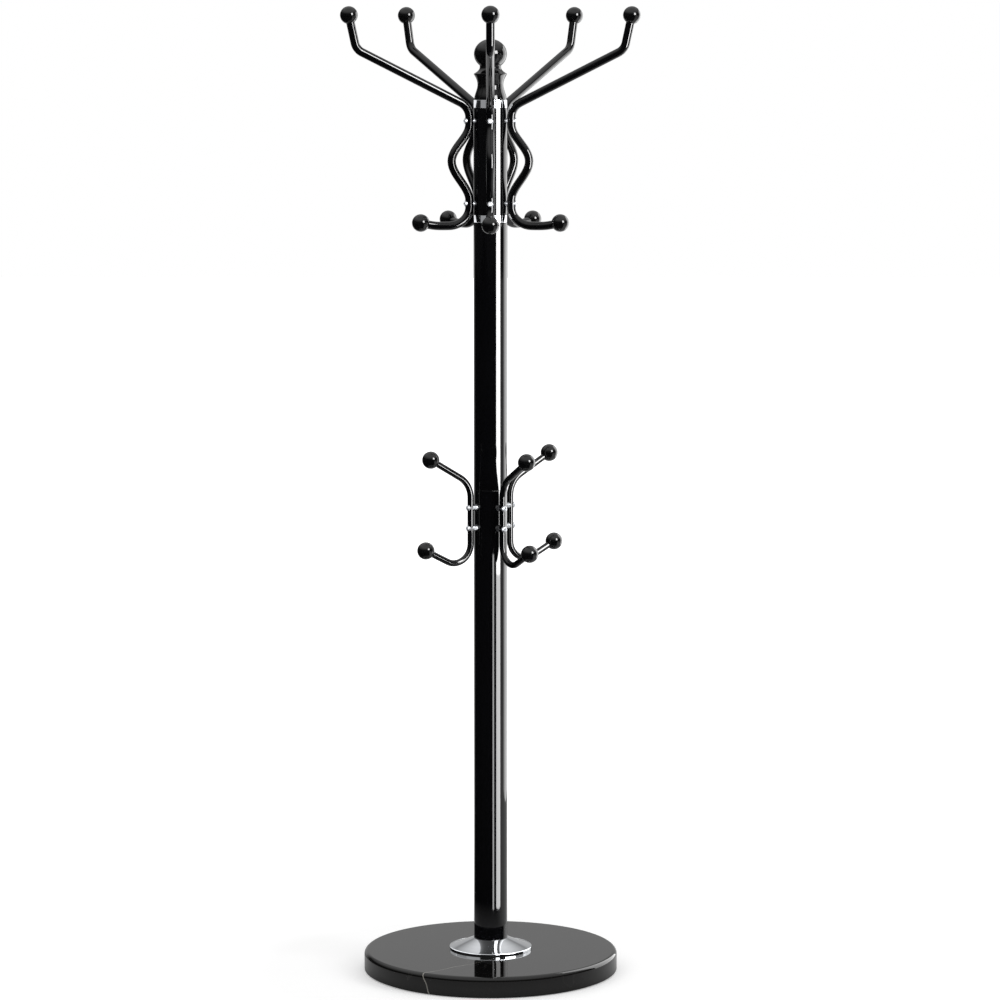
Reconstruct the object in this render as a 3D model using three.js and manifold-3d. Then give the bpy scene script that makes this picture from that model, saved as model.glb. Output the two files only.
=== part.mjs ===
// A standing coat rack: a pole in three sections on a round marble base, with five long bent hooks
// round its head, three double hooks at mid height and a turned finial on top.
// Millimetres, +Z up. The origin is on the floor, on the pole's axis, and -Y is the front.

import * as THREE from "three";
import { mergeVertices } from "three/addons/utils/BufferGeometryUtils.js";
import Module from "manifold-3d";

const wasm = await Module();
wasm.setup();

// Gap between pieces that slide or screw into each other.
const CLEARANCE = 0.3;

// Base.
const BASE_DIAMETER = 458;
const BASE_THICKNESS = 36;
const BASE_TOP_EDGE = 8;
const BASE_BOTTOM_EDGE = 2;
const FELT_THICKNESS = 2;
const FELT_INSET = 6;

// Flange that covers the joint between pole and base.
const FLANGE_DIAMETER = 149;
const FLANGE_RIM = 6;
const FLANGE_HEIGHT = 21;
const FLANGE_WALL = 2.5;
const FLANGE_LIP = 2;

// Bolt that holds the pole down, with its head sunk in the underside of the base.
const BOLT_DIAMETER = 10;
const BOLT_HEAD_WIDTH = 19;
const BOLT_HEAD_HEIGHT = 7;
const BOLT_HOLE_SLACK = 1;
const WASHER_DIAMETER = 28;
const WASHER_THICKNESS = 2;
const RECESS_DEPTH = 12;
const RECESS_SLACK = 3;
const FOOT_PLUG_LENGTH = 30;
const BOLT_SHORT_OF_PLUG_TOP = 6;

// Pole sections and the trim rings between them.
const POLE_DIAMETER = 60;
const TUBE_WALL = 2;
const LOWER_SECTION = 839;
const MIDDLE_SECTION = 477.5;
const LOWER_RING = 13;
const HEAD_SECTION = 189.5;
const UPPER_RING = 14;
const SPIGOT_WALL = 4;
const SPIGOT_FIXED_END = 20;
const SPIGOT_FREE_END = 40;
const HEAD_SPIGOT_BELOW = 30;
const HEAD_SPIGOT_ABOVE = 15;
const HEAD_PLUG_DEPTH = 14;

// Finial, as radii at heights above its seat.
const FINIAL_SHY_OF_POLE = 1.2;
const FINIAL_WAIST_RADIUS = 22.9;
const FINIAL_WAIST_HEIGHT = 26.5;
const FINIAL_RIM_RADIUS = 29.3;
const FINIAL_RIM_HEIGHT = 44.5;
const FINIAL_RIM_EDGE = 1.5;
const FINIAL_NECK_RADIUS = 18.9;
const FINIAL_NECK_HEIGHT = 57.5;
const FINIAL_BALL_RADIUS = 29.2;
const FINIAL_BALL_HALF_HEIGHT = 26.5;
const FINIAL_BALL_HEIGHT = 80.5;
const STUD_DIAMETER = 10;
const STUD_IN_PLUG = 24;
const STUD_IN_FINIAL = 24;
const STUD_END_GAP = 2;

// Screws that hold the hooks. Each has a spacer between the rod and the tube.
const SCREW_DIAMETER = 5;
const SCREW_INSIDE_TUBE = 6;
const SCREW_HEAD_DIAMETER = 10.5;
const SCREW_HEAD_HEIGHT = 3;

// Balls on the ends of the rods.
const BALL_DIAMETER = 32;
const SOCKET_DEPTH = 7;

// Long hooks round the head, spaced evenly from the one that points to the front.
const LONG_HOOKS = 5;
const LONG_FIRST_TURN = -90;
const LONG = {
  rodDiameter: 15,
  spacerDiameter: 10,
  spacerLength: 1.5,
  topScrewBelowHead: 23,
  lowScrewAboveRing: 20.5,
  shoulderBend: 30,
  armLength: 231.2,
  armSlope: 26.1,
  elbowBend: 24,
  tipLength: 61,
  tipLean: 12.5,
  bulge: 33,
  bulgeBelowTopScrew: 71,
  flankHandle: 24,
  curlReach: 38,
  curlDrop: 39,
  lowBallReach: 90.5,
  lowBallRise: 6,
};

// Double hooks below the section seam, a quarter turn apart, with the rear left quarter left free.
const DOUBLE_HOOKS = 3;
const DOUBLE_FIRST_TURN = -149;
const DOUBLE = {
  rodDiameter: 11.5,
  spacerDiameter: 11.5,
  spacerLength: 5.75,
  topScrewBelowSeam: 31,
  screwSpacing: 37,
  topStraight: 17.9,
  topBend: 43,
  topArmLength: 94.7,
  topArmSlope: 30,
  lowStraight: 27.75,
  lowBend: 33,
  lowArmLength: 103.8,
  lowArmSlope: 27,
};

// How finely the round shapes are cut.
const EDGE_STEPS = 4;
const FINIAL_CURVE_STEPS = 4;
const FINIAL_BALL_STEPS = 10;
const SIDES = { base: 40, flange: 24, tube: 24, finial: 20, ball: 12, screw: 8, rod: 10, bolt: 12 };
const DEGREES_PER_ROD_STEP = 15;

// Radii and heights that follow from the sizes above.
const POLE_RADIUS = POLE_DIAMETER / 2;
const BORE_RADIUS = POLE_RADIUS - TUBE_WALL;
const PLUG_RADIUS = BORE_RADIUS - CLEARANCE;
const BALL_RADIUS = BALL_DIAMETER / 2;
const ROD_SHORT_OF_BALL_CENTRE = BALL_RADIUS - SOCKET_DEPTH;
const SCREW_HOLE_RADIUS = SCREW_DIAMETER / 2 + CLEARANCE;
const BOLT_THREAD_RADIUS = BOLT_DIAMETER / 2 + CLEARANCE;
const STUD_THREAD_RADIUS = STUD_DIAMETER / 2 + CLEARANCE;
const SLEEVE_BORE_RADIUS = PLUG_RADIUS - SPIGOT_WALL;
const BASE_TOP = FELT_THICKNESS + BASE_THICKNESS;
const SEAM = BASE_TOP + LOWER_SECTION;
const MIDDLE_TOP = SEAM + MIDDLE_SECTION;
const HEAD_BOTTOM = MIDDLE_TOP + LOWER_RING;
const HEAD_TOP = HEAD_BOTTOM + HEAD_SECTION;
const FINIAL_SEAT = HEAD_TOP + UPPER_RING;
const RECESS_TOP = FELT_THICKNESS + RECESS_DEPTH;
const WASHER_BOTTOM = RECESS_TOP - WASHER_THICKNESS;

// A rod is straight for this far above and below each screw, so that the head lies flat on it.
const STRAIGHT_AT_SCREW = SCREW_HEAD_DIAMETER / 2 + CLEARANCE;

const finish = {
  blackEnamel: { color: 0x0a0a0b, roughness: 0.08, metalness: 0 },
  blackResin: { color: 0x0b0b0c, roughness: 0.06, metalness: 0 },
  chrome: { color: 0xd8dadd, roughness: 0.05, metalness: 1 },
  zincSteel: { color: 0xa8abaf, roughness: 0.35, metalness: 1 },
  blackMarble: { color: 0x161617, roughness: 0.07, metalness: 0 },
  feltGrey: { color: 0x2c2c2e, roughness: 1, metalness: 0 },
};

const radians = THREE.MathUtils.degToRad;
const at = (reach, height) => new THREE.Vector2(reach, height);
const heading = (degrees) => at(Math.cos(radians(degrees)), Math.sin(radians(degrees)));
const along = (from, direction, distance) => from.clone().addScaledVector(direction, distance);

function named(name, geometry, look) {
  const mesh = new THREE.Mesh(geometry, new THREE.MeshStandardMaterial(look));
  mesh.name = name;
  return mesh;
}

// Turns a closed profile of (radius, height) points about the Z axis. A profile that does not touch
// the axis is closed on itself, which leaves a bore.
function turned(profile, sides) {
  const points = THREE.ShapeUtils.isClockWise(profile) ? profile.slice().reverse() : profile.slice();
  const touches = points.findIndex((p, i) => p.x === 0 && points.at(i - 1).x === 0);
  const start = Math.max(touches, 0);
  const outline = [...points.slice(start), ...points.slice(0, start)];
  if (touches < 0) outline.push(points[0]);
  return new THREE.LatheGeometry(outline, sides).rotateX(Math.PI / 2);
}

function solidOf(geometry) {
  const bare = geometry.clone();
  bare.deleteAttribute("normal");
  bare.deleteAttribute("uv");
  const merged = mergeVertices(bare);
  const vertProperties = merged.attributes.position.array;
  const triVerts = new Uint32Array(merged.index.array);
  return new wasm.Manifold(new wasm.Mesh({ numProp: 3, vertProperties, triVerts }));
}

function geometryOf(solid) {
  const { vertProperties, triVerts } = solid.getMesh();
  const geometry = new THREE.BufferGeometry();
  geometry.setAttribute("position", new THREE.BufferAttribute(vertProperties, 3));
  geometry.setIndex(new THREE.BufferAttribute(triVerts, 1));
  geometry.computeVertexNormals();
  return geometry;
}

const screwHoles = (turns, heights) => turns.flatMap((turn) => heights.map((height) => ({ turn, height })));

// Bores a screw hole at each {turn, height}, square to the pole's axis, from one reach to another.
function drilled(geometry, holes, fromReach, toReach) {
  let solid = solidOf(geometry);
  for (const { turn, height } of holes) {
    const length = toReach - fromReach;
    const drill = new THREE.CylinderGeometry(SCREW_HOLE_RADIUS, SCREW_HOLE_RADIUS, length, SIDES.screw);
    drill.rotateZ(-Math.PI / 2).translate((fromReach + toReach) / 2, 0, height).rotateZ(turn);
    solid = solid.subtract(solidOf(drill));
  }
  return geometryOf(solid);
}

// A rod's centre line in the plane of reach and height: straight runs and bends end to end, each cut
// into its own number of steps, so that a straight run costs one step and a bend as many as it needs.
class RodLine extends THREE.Curve {
  constructor(runs) {
    super();
    this.runs = runs;
    this.steps = runs.reduce((sum, run) => sum + run.steps, 0);
  }

  getPoint(t, target = new THREE.Vector3()) {
    let place = THREE.MathUtils.clamp(t, 0, 1) * this.steps;
    const run = this.runs.find((r) => {
      if (place <= r.steps) return true;
      place -= r.steps;
      return false;
    });
    const { x, y } = (run ?? this.runs.at(-1)).curve.getPoint(run ? place / run.steps : 1);
    return target.set(x, 0, y);
  }

  getUtoTmapping(u) {
    return u;
  }
}

const straight = (from, to) => ({ curve: new THREE.LineCurve(from, to), steps: 1 });

// How far a curve turns in all, in degrees, whichever way it bends.
function turnOf(curve) {
  const samples = 16;
  const tangents = Array.from({ length: samples + 1 }, (_, i) => curve.getTangent(i / samples));
  const turns = tangents.slice(1).map((tangent, i) => tangents[i].angleTo(tangent));
  return THREE.MathUtils.radToDeg(turns.reduce((sum, turn) => sum + turn, 0));
}

function bend(from, fromHandle, toHandle, to) {
  const curve = new THREE.CubicBezierCurve(from, fromHandle, toHandle, to);
  return { curve, steps: Math.max(2, Math.round(turnOf(curve) / DEGREES_PER_ROD_STEP)) };
}

// Distance from a corner to where a bend of this radius begins.
const setback = (radius, degrees) => radius * Math.tan(radians(degrees) / 2);

// Straight runs from point to point, with each corner between them bent to a radius.
function bentRuns(points, radii) {
  const runs = [];
  let start = points[0];
  radii.forEach((radius, i) => {
    const [before, corner, after] = points.slice(i, i + 3);
    const entering = corner.clone().sub(before).normalize();
    const leaving = after.clone().sub(corner).normalize();
    const turn = Math.acos(entering.dot(leaving));
    const tangent = radius * Math.tan(turn / 2);
    const handle = (4 / 3) * radius * Math.tan(turn / 4);
    const from = along(corner, entering, -tangent);
    const to = along(corner, leaving, tangent);
    runs.push(straight(start, from));
    runs.push(bend(from, along(from, entering, handle), along(to, leaving, -handle), to));
    start = to;
  });
  runs.push(straight(start, points.at(-1)));
  return runs;
}

function rodGeometry(runs, rodRadius) {
  const line = new RodLine(runs);
  const section = new THREE.Shape();
  section.absarc(0, 0, rodRadius, 0, 2 * Math.PI, false);
  // A full circle is cut into twice its curve segments.
  const curveSegments = SIDES.rod / 2;
  return new THREE.ExtrudeGeometry(section, {
    extrudePath: line,
    steps: line.steps,
    curveSegments,
    bevelEnabled: false,
  });
}

// A ball with a socket for the rod's end. It is centred on the origin and its socket opens downwards.
function ballGeometry(rodRadius) {
  const socketRadius = (rodRadius + CLEARANCE) / Math.cos(Math.PI / SIDES.ball);
  const mouth = Math.asin(socketRadius / BALL_RADIUS);
  const rings = SIDES.ball / 2 + 1;
  const profile = [at(0, BALL_RADIUS)];
  for (let i = 1; i <= rings; i++) {
    const angle = (i / rings) * (Math.PI - mouth);
    profile.push(at(BALL_RADIUS * Math.sin(angle), BALL_RADIUS * Math.cos(angle)));
  }
  const socketTop = SOCKET_DEPTH + CLEARANCE - BALL_RADIUS;
  profile.push(at(socketRadius, socketTop), at(0, socketTop));
  return turned(profile, SIDES.ball);
}

// The place of a ball at the end of a rod: its centre, and the way its socket looks away from.
function placeBall(mesh, centre, direction) {
  mesh.position.set(centre.x, 0, centre.y);
  const facing = new THREE.Vector3(direction.x, 0, direction.y);
  mesh.quaternion.setFromUnitVectors(new THREE.Vector3(0, 0, 1), facing);
  return mesh;
}

// A screw with the spacer on it, lying along +X from inside the tube to its head outside the rod.
function screwGeometry(hook) {
  const shank = SCREW_DIAMETER / 2;
  const spacerFrom = POLE_RADIUS + CLEARANCE;
  const spacerTo = POLE_RADIUS + hook.spacerLength - CLEARANCE;
  const headRadius = SCREW_HEAD_DIAMETER / 2;
  const headFrom = POLE_RADIUS + hook.spacerLength + hook.rodDiameter + CLEARANCE;
  const headTo = headFrom + SCREW_HEAD_HEIGHT;
  const tip = BORE_RADIUS - SCREW_INSIDE_TUBE;
  const profile = [
    at(0, tip),
    at(shank, tip),
    at(shank, spacerFrom),
    at(hook.spacerDiameter / 2, spacerFrom),
    at(hook.spacerDiameter / 2, spacerTo),
    at(shank, spacerTo),
    at(shank, headFrom),
    at(headRadius, headFrom),
    at(headRadius, headFrom + SCREW_HEAD_HEIGHT / 3),
    at(headRadius / 2, headTo),
    at(0, headTo),
  ];
  return turned(profile, SIDES.screw).rotateY(Math.PI / 2);
}

// One hook with its two balls and two screws, built towards +X and then turned to its place.
function hookGroup(name, hook, shape, turn) {
  const rodRadius = hook.rodDiameter / 2;
  const holes = screwHoles([0], [shape.topScrew, shape.lowScrew]);
  const seat = seatReach(hook);
  const bar = rodGeometry(shape.runs, rodRadius);
  const rod = drilled(bar, holes, seat - hook.rodDiameter, seat + hook.rodDiameter);
  const group = new THREE.Group();
  group.rotation.z = turn;
  group.add(named(name, rod, finish.blackEnamel));
  for (const end of ["top", "low"]) {
    const ball = named(`${name}_${end}_ball`, ballGeometry(rodRadius), finish.blackResin);
    group.add(placeBall(ball, shape[`${end}Ball`], shape[`${end}Heading`]));
    const screw = named(`${name}_${end}_screw`, screwGeometry(hook), finish.chrome);
    screw.position.z = shape[`${end}Screw`];
    group.add(screw);
  }
  return group;
}

// Reach of a rod's centre line where it is screwed to the pole.
const seatReach = (hook) => POLE_RADIUS + hook.spacerLength + hook.rodDiameter / 2;

function longHookShape() {
  const seat = seatReach(LONG);
  const topScrew = HEAD_TOP - LONG.topScrewBelowHead;
  const lowScrew = HEAD_BOTTOM + LONG.lowScrewAboveRing;

  // Upwards from the top screw: shoulder, straight arm, elbow and tip.
  const shoulderTurn = 90 - LONG.armSlope;
  const shoulderHeight = topScrew + STRAIGHT_AT_SCREW + setback(LONG.shoulderBend, shoulderTurn);
  const shoulder = at(seat, shoulderHeight);
  const elbow = along(shoulder, heading(LONG.armSlope), LONG.armLength);
  const topHeading = heading(90 - LONG.tipLean);
  const topBall = along(elbow, topHeading, LONG.tipLength);
  const topEnd = along(topBall, topHeading, -ROD_SHORT_OF_BALL_CENTRE);
  const flankTop = at(seat, topScrew - STRAIGHT_AT_SCREW);
  const arm = bentRuns([topEnd, elbow, shoulder, flankTop], [LONG.elbowBend, LONG.shoulderBend]);

  // Downwards from there: out to the bulge, back to the low screw, then the curl.
  const down = at(0, -1);
  const out = at(1, 0);
  const bulge = at(seat + LONG.bulge, topScrew - LONG.bulgeBelowTopScrew);
  const flankFoot = at(seat, lowScrew + STRAIGHT_AT_SCREW);
  const curlTop = at(seat, lowScrew - STRAIGHT_AT_SCREW);
  const curlBottom = at(seat + LONG.curlReach, lowScrew - LONG.curlDrop);
  const quarter = (4 / 3) * Math.tan(Math.PI / 8);
  const curlHandle = quarter * (curlTop.y - curlBottom.y);
  const floorHandle = quarter * LONG.curlReach;
  const lowBall = at(seat + LONG.lowBallReach, curlBottom.y + LONG.lowBallRise);
  const lastHandle = at((curlBottom.x + lowBall.x) / 2, curlBottom.y);
  const lowHeading = lowBall.clone().sub(lastHandle).normalize();
  const lowEnd = along(lowBall, lowHeading, -ROD_SHORT_OF_BALL_CENTRE);
  const handle = LONG.flankHandle;
  const runs = [
    ...arm,
    bend(flankTop, along(flankTop, down, handle), along(bulge, down, -handle), bulge),
    bend(bulge, along(bulge, down, handle), along(flankFoot, down, -handle), flankFoot),
    straight(flankFoot, curlTop),
    bend(curlTop, along(curlTop, down, curlHandle), along(curlBottom, out, -floorHandle), curlBottom),
    bend(curlBottom, along(curlBottom, out, floorHandle), lastHandle, lowEnd),
  ];
  return { runs, topScrew, lowScrew, topBall, lowBall, topHeading, lowHeading };
}

function doubleHookShape() {
  const seat = seatReach(DOUBLE);
  const topScrew = SEAM - DOUBLE.topScrewBelowSeam;
  const lowScrew = topScrew - DOUBLE.screwSpacing;
  const topTurn = 90 - DOUBLE.topArmSlope;
  const lowTurn = 90 + DOUBLE.lowArmSlope;
  const topCorner = at(seat, topScrew + DOUBLE.topStraight + setback(DOUBLE.topBend, topTurn));
  const lowCorner = at(seat, lowScrew - DOUBLE.lowStraight - setback(DOUBLE.lowBend, lowTurn));
  const topHeading = heading(DOUBLE.topArmSlope);
  const lowHeading = heading(DOUBLE.lowArmSlope);
  const topBall = along(topCorner, topHeading, DOUBLE.topArmLength);
  const lowBall = along(lowCorner, lowHeading, DOUBLE.lowArmLength);
  const topEnd = along(topBall, topHeading, -ROD_SHORT_OF_BALL_CENTRE);
  const lowEnd = along(lowBall, lowHeading, -ROD_SHORT_OF_BALL_CENTRE);
  const runs = bentRuns([topEnd, topCorner, lowCorner, lowEnd], [DOUBLE.topBend, DOUBLE.lowBend]);
  return { runs, topScrew, lowScrew, topBall, lowBall, topHeading, lowHeading };
}

// The half section of a plain ring or tube.
function sleeveSection(innerRadius, outerRadius, bottom, top) {
  return [at(innerRadius, bottom), at(outerRadius, bottom), at(outerRadius, top), at(innerRadius, top)];
}

// A straight tube with holes square to its axis for the hooks' screws.
function tube(name, bottom, top, turns, heights) {
  const pipe = turned(sleeveSection(BORE_RADIUS, POLE_RADIUS, bottom, top), SIDES.tube);
  const holes = screwHoles(turns, heights);
  const drillFrom = BORE_RADIUS - SCREW_INSIDE_TUBE;
  const drillTo = POLE_RADIUS + TUBE_WALL;
  return named(name, drilled(pipe, holes, drillFrom, drillTo), finish.blackEnamel);
}

function trimRing(name, bottom, height) {
  const section = sleeveSection(BORE_RADIUS, POLE_RADIUS, bottom, bottom + height);
  return named(name, turned(section, SIDES.tube), finish.chrome);
}

// A sleeve or plug inside the tubes, bored to the given radius.
function plug(name, bottom, top, boreRadius) {
  const section = sleeveSection(boreRadius, PLUG_RADIUS, bottom, top);
  return named(name, turned(section, SIDES.tube), finish.zincSteel);
}

// A disc with a rounded top edge, bored for the bolt and recessed underneath for its head.
function marbleBase() {
  const radius = BASE_DIAMETER / 2;
  const holeRadius = BOLT_DIAMETER / 2 + BOLT_HOLE_SLACK;
  const recessRadius = WASHER_DIAMETER / 2 + RECESS_SLACK;
  const topEdge = [];
  for (let i = 0; i <= EDGE_STEPS; i++) {
    const angle = (i / EDGE_STEPS) * (Math.PI / 2);
    const reach = radius - BASE_TOP_EDGE * (1 - Math.cos(angle));
    topEdge.push(at(reach, BASE_TOP - BASE_TOP_EDGE * (1 - Math.sin(angle))));
  }
  const section = [
    at(recessRadius, FELT_THICKNESS),
    at(radius - BASE_BOTTOM_EDGE, FELT_THICKNESS),
    at(radius, FELT_THICKNESS + BASE_BOTTOM_EDGE),
    ...topEdge,
    at(holeRadius, BASE_TOP),
    at(holeRadius, RECESS_TOP),
    at(recessRadius, RECESS_TOP),
  ];
  return named("marble_base", turned(section, SIDES.base), finish.blackMarble);
}

function baseFelt() {
  const radius = BASE_DIAMETER / 2 - FELT_INSET;
  const section = [at(0, 0), at(radius, 0), at(radius, FELT_THICKNESS), at(0, FELT_THICKNESS)];
  return named("base_felt", turned(section, SIDES.base), finish.feltGrey);
}

function baseWasher() {
  const section = sleeveSection(BOLT_THREAD_RADIUS, WASHER_DIAMETER / 2, WASHER_BOTTOM, RECESS_TOP);
  return named("base_washer", turned(section, SIDES.bolt), finish.zincSteel);
}

// The hexagon head hangs under the washer, and the shank starts half way into the head.
function baseBolt() {
  const shankTop = BASE_TOP + FOOT_PLUG_LENGTH - BOLT_SHORT_OF_PLUG_TOP;
  const shankBottom = WASHER_BOTTOM - BOLT_HEAD_HEIGHT / 2;
  const shank = new THREE.CylinderGeometry(
    BOLT_DIAMETER / 2,
    BOLT_DIAMETER / 2,
    shankTop - shankBottom,
    SIDES.bolt,
  );
  shank.rotateX(Math.PI / 2).translate(0, 0, (shankTop + shankBottom) / 2);
  const head = new THREE.CylinderGeometry(BOLT_HEAD_WIDTH / 2, BOLT_HEAD_WIDTH / 2, BOLT_HEAD_HEIGHT, 6);
  head.rotateX(Math.PI / 2).translate(0, 0, shankBottom);
  return named("base_bolt", geometryOf(solidOf(shank).add(solidOf(head))), finish.zincSteel);
}

// A spun cover, open underneath: an upright rim, then a low cone that closes on the pole.
function flange() {
  const outer = FLANGE_DIAMETER / 2;
  const inner = POLE_RADIUS + CLEARANCE;
  const rimTop = BASE_TOP + FLANGE_RIM;
  const top = BASE_TOP + FLANGE_HEIGHT;
  const section = [
    at(outer - FLANGE_WALL, BASE_TOP),
    at(outer, BASE_TOP),
    at(outer, rimTop - FLANGE_LIP),
    at(outer - FLANGE_LIP, rimTop),
    at(inner + FLANGE_WALL, top),
    at(inner, top),
    at(inner, top - 2 * FLANGE_WALL),
    at(outer - FLANGE_WALL, rimTop - FLANGE_WALL - FLANGE_LIP),
  ];
  return named("base_flange", turned(section, SIDES.flange), finish.chrome);
}

// The finial: a waisted stem that flares to a sharp rim, then a neck under a slightly flattened ball.
function finial() {
  const base = POLE_RADIUS - FINIAL_SHY_OF_POLE;
  const rimTop = FINIAL_RIM_HEIGHT + FINIAL_RIM_EDGE;
  const waist = at(FINIAL_WAIST_RADIUS, FINIAL_WAIST_HEIGHT);
  const waistHandle = at(FINIAL_WAIST_RADIUS, (FINIAL_WAIST_HEIGHT + FINIAL_RIM_HEIGHT) / 2);
  const neck = at(FINIAL_NECK_RADIUS, FINIAL_NECK_HEIGHT);
  const neckHandle = at(FINIAL_NECK_RADIUS, (rimTop + FINIAL_NECK_HEIGHT) / 2);
  const stem = new THREE.CubicBezierCurve(
    at(base, 0),
    at(base, FINIAL_WAIST_HEIGHT / 3),
    at(FINIAL_WAIST_RADIUS, (FINIAL_WAIST_HEIGHT * 2) / 3),
    waist,
  );
  const rim = at(FINIAL_RIM_RADIUS, FINIAL_RIM_HEIGHT);
  const flare = new THREE.QuadraticBezierCurve(waist, waistHandle, rim);
  const cove = new THREE.QuadraticBezierCurve(at(FINIAL_RIM_RADIUS, rimTop), neckHandle, neck);
  const profile = [
    ...stem.getPoints(FINIAL_CURVE_STEPS),
    ...flare.getPoints(FINIAL_CURVE_STEPS).slice(1),
    ...cove.getPoints(FINIAL_CURVE_STEPS).slice(0, -1),
  ];

  // The ball starts where its outline is as wide as the neck.
  const neckAngle = -Math.acos(FINIAL_NECK_RADIUS / FINIAL_BALL_RADIUS);
  for (let i = 0; i < FINIAL_BALL_STEPS; i++) {
    const angle = neckAngle + (i / FINIAL_BALL_STEPS) * (Math.PI / 2 - neckAngle);
    const height = FINIAL_BALL_HEIGHT + FINIAL_BALL_HALF_HEIGHT * Math.sin(angle);
    profile.push(at(FINIAL_BALL_RADIUS * Math.cos(angle), height));
  }
  const boreTop = STUD_IN_FINIAL + STUD_END_GAP;
  profile.push(at(0, FINIAL_BALL_HEIGHT + FINIAL_BALL_HALF_HEIGHT));
  profile.push(at(0, boreTop), at(STUD_THREAD_RADIUS, boreTop), at(STUD_THREAD_RADIUS, 0));
  const mesh = named("finial", turned(profile, SIDES.finial), finish.blackResin);
  mesh.position.z = FINIAL_SEAT;
  return mesh;
}

function finialStud() {
  const radius = STUD_DIAMETER / 2;
  const length = STUD_IN_PLUG + STUD_IN_FINIAL;
  const stud = new THREE.CylinderGeometry(radius, radius, length, SIDES.bolt).rotateX(Math.PI / 2);
  const mesh = named("finial_stud", stud, finish.zincSteel);
  mesh.position.z = FINIAL_SEAT + (STUD_IN_FINIAL - STUD_IN_PLUG) / 2;
  return mesh;
}

function turnsOf(count, firstDegrees, stepDegrees) {
  return Array.from({ length: count }, (_, i) => radians(firstDegrees + i * stepDegrees));
}

const longTurns = turnsOf(LONG_HOOKS, LONG_FIRST_TURN, 360 / LONG_HOOKS);
const doubleTurns = turnsOf(DOUBLE_HOOKS, DOUBLE_FIRST_TURN, 90);
const longShape = longHookShape();
const doubleShape = doubleHookShape();
const longScrews = [longShape.topScrew, longShape.lowScrew];
const doubleScrews = [doubleShape.topScrew, doubleShape.lowScrew];

const coatRack = new THREE.Group();
coatRack.add(
  baseFelt(),
  marbleBase(),
  baseWasher(),
  baseBolt(),
  flange(),
  plug("foot_plug", BASE_TOP, BASE_TOP + FOOT_PLUG_LENGTH, BOLT_THREAD_RADIUS),
  tube("lower_tube", BASE_TOP, SEAM, doubleTurns, doubleScrews),
  plug("section_spigot", SEAM - SPIGOT_FIXED_END, SEAM + SPIGOT_FREE_END, SLEEVE_BORE_RADIUS),
  tube("middle_tube", SEAM, MIDDLE_TOP, [], []),
  plug(
    "head_spigot",
    MIDDLE_TOP - HEAD_SPIGOT_BELOW,
    HEAD_BOTTOM + HEAD_SPIGOT_ABOVE,
    SLEEVE_BORE_RADIUS,
  ),
  trimRing("lower_trim_ring", MIDDLE_TOP, LOWER_RING),
  tube("head_tube", HEAD_BOTTOM, HEAD_TOP, longTurns, longScrews),
  trimRing("upper_trim_ring", HEAD_TOP, UPPER_RING),
  plug("head_plug", HEAD_TOP - HEAD_PLUG_DEPTH, FINIAL_SEAT, STUD_THREAD_RADIUS),
  finialStud(),
  finial(),
);
longTurns.forEach((turn, i) => {
  coatRack.add(hookGroup(`long_hook_${i + 1}`, LONG, longShape, turn));
});
doubleTurns.forEach((turn, i) => {
  coatRack.add(hookGroup(`double_hook_${i + 1}`, DOUBLE, doubleShape, turn));
});

export default coatRack;
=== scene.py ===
"""A standing coat rack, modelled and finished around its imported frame.

A glossy black pole stands on a round marble base. Five long hooks bend out from its head, three double
hooks sit at mid height, and a turned finial closes the top. Nothing on the rack moves.

Sizes are in millimetres and become metres where a mesh is made. Places come from the frame.
"""

from __future__ import annotations

import logging
import math
from collections.abc import Callable, Iterator
from contextlib import contextmanager
from dataclasses import dataclass
from enum import Enum

import bmesh
import bpy
from mathutils import Matrix, Vector
from mathutils.geometry import interpolate_bezier

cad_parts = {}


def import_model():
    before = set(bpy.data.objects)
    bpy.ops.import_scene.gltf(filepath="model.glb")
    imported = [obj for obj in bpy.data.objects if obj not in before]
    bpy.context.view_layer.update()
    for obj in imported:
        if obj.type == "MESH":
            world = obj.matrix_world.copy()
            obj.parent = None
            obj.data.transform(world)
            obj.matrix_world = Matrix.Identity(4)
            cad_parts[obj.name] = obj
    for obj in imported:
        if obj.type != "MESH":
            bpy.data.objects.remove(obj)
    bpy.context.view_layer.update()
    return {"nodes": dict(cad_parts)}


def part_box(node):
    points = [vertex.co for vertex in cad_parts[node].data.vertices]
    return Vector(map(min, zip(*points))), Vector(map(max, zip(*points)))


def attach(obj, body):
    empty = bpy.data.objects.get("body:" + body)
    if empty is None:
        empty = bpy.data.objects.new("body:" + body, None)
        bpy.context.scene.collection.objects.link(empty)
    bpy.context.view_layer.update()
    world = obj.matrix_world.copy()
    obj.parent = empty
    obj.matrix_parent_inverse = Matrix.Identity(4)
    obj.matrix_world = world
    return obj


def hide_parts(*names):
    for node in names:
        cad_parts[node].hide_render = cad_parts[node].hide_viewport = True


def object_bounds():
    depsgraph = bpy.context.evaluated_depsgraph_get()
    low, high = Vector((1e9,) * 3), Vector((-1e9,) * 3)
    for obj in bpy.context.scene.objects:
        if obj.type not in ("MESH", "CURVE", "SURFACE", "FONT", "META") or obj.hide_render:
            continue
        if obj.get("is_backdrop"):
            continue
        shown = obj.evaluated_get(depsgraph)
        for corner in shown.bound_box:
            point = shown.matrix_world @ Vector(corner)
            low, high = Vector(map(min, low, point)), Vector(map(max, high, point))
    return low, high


LOG = logging.getLogger("coat_rack")
MM = 0.001
ROOT = "root"
FULL_TURN = 2 * math.pi

Tree = bpy.types.NodeTree
Node = bpy.types.Node
Source = bpy.types.Node | bpy.types.NodeSocket
Piece = bpy.types.Object

# Gap between a hole or socket and the piece inside it.
CLEARANCE = 0.3

# Points nearer to each other than this are merged, in metres.
MERGED = 1e-6


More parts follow.
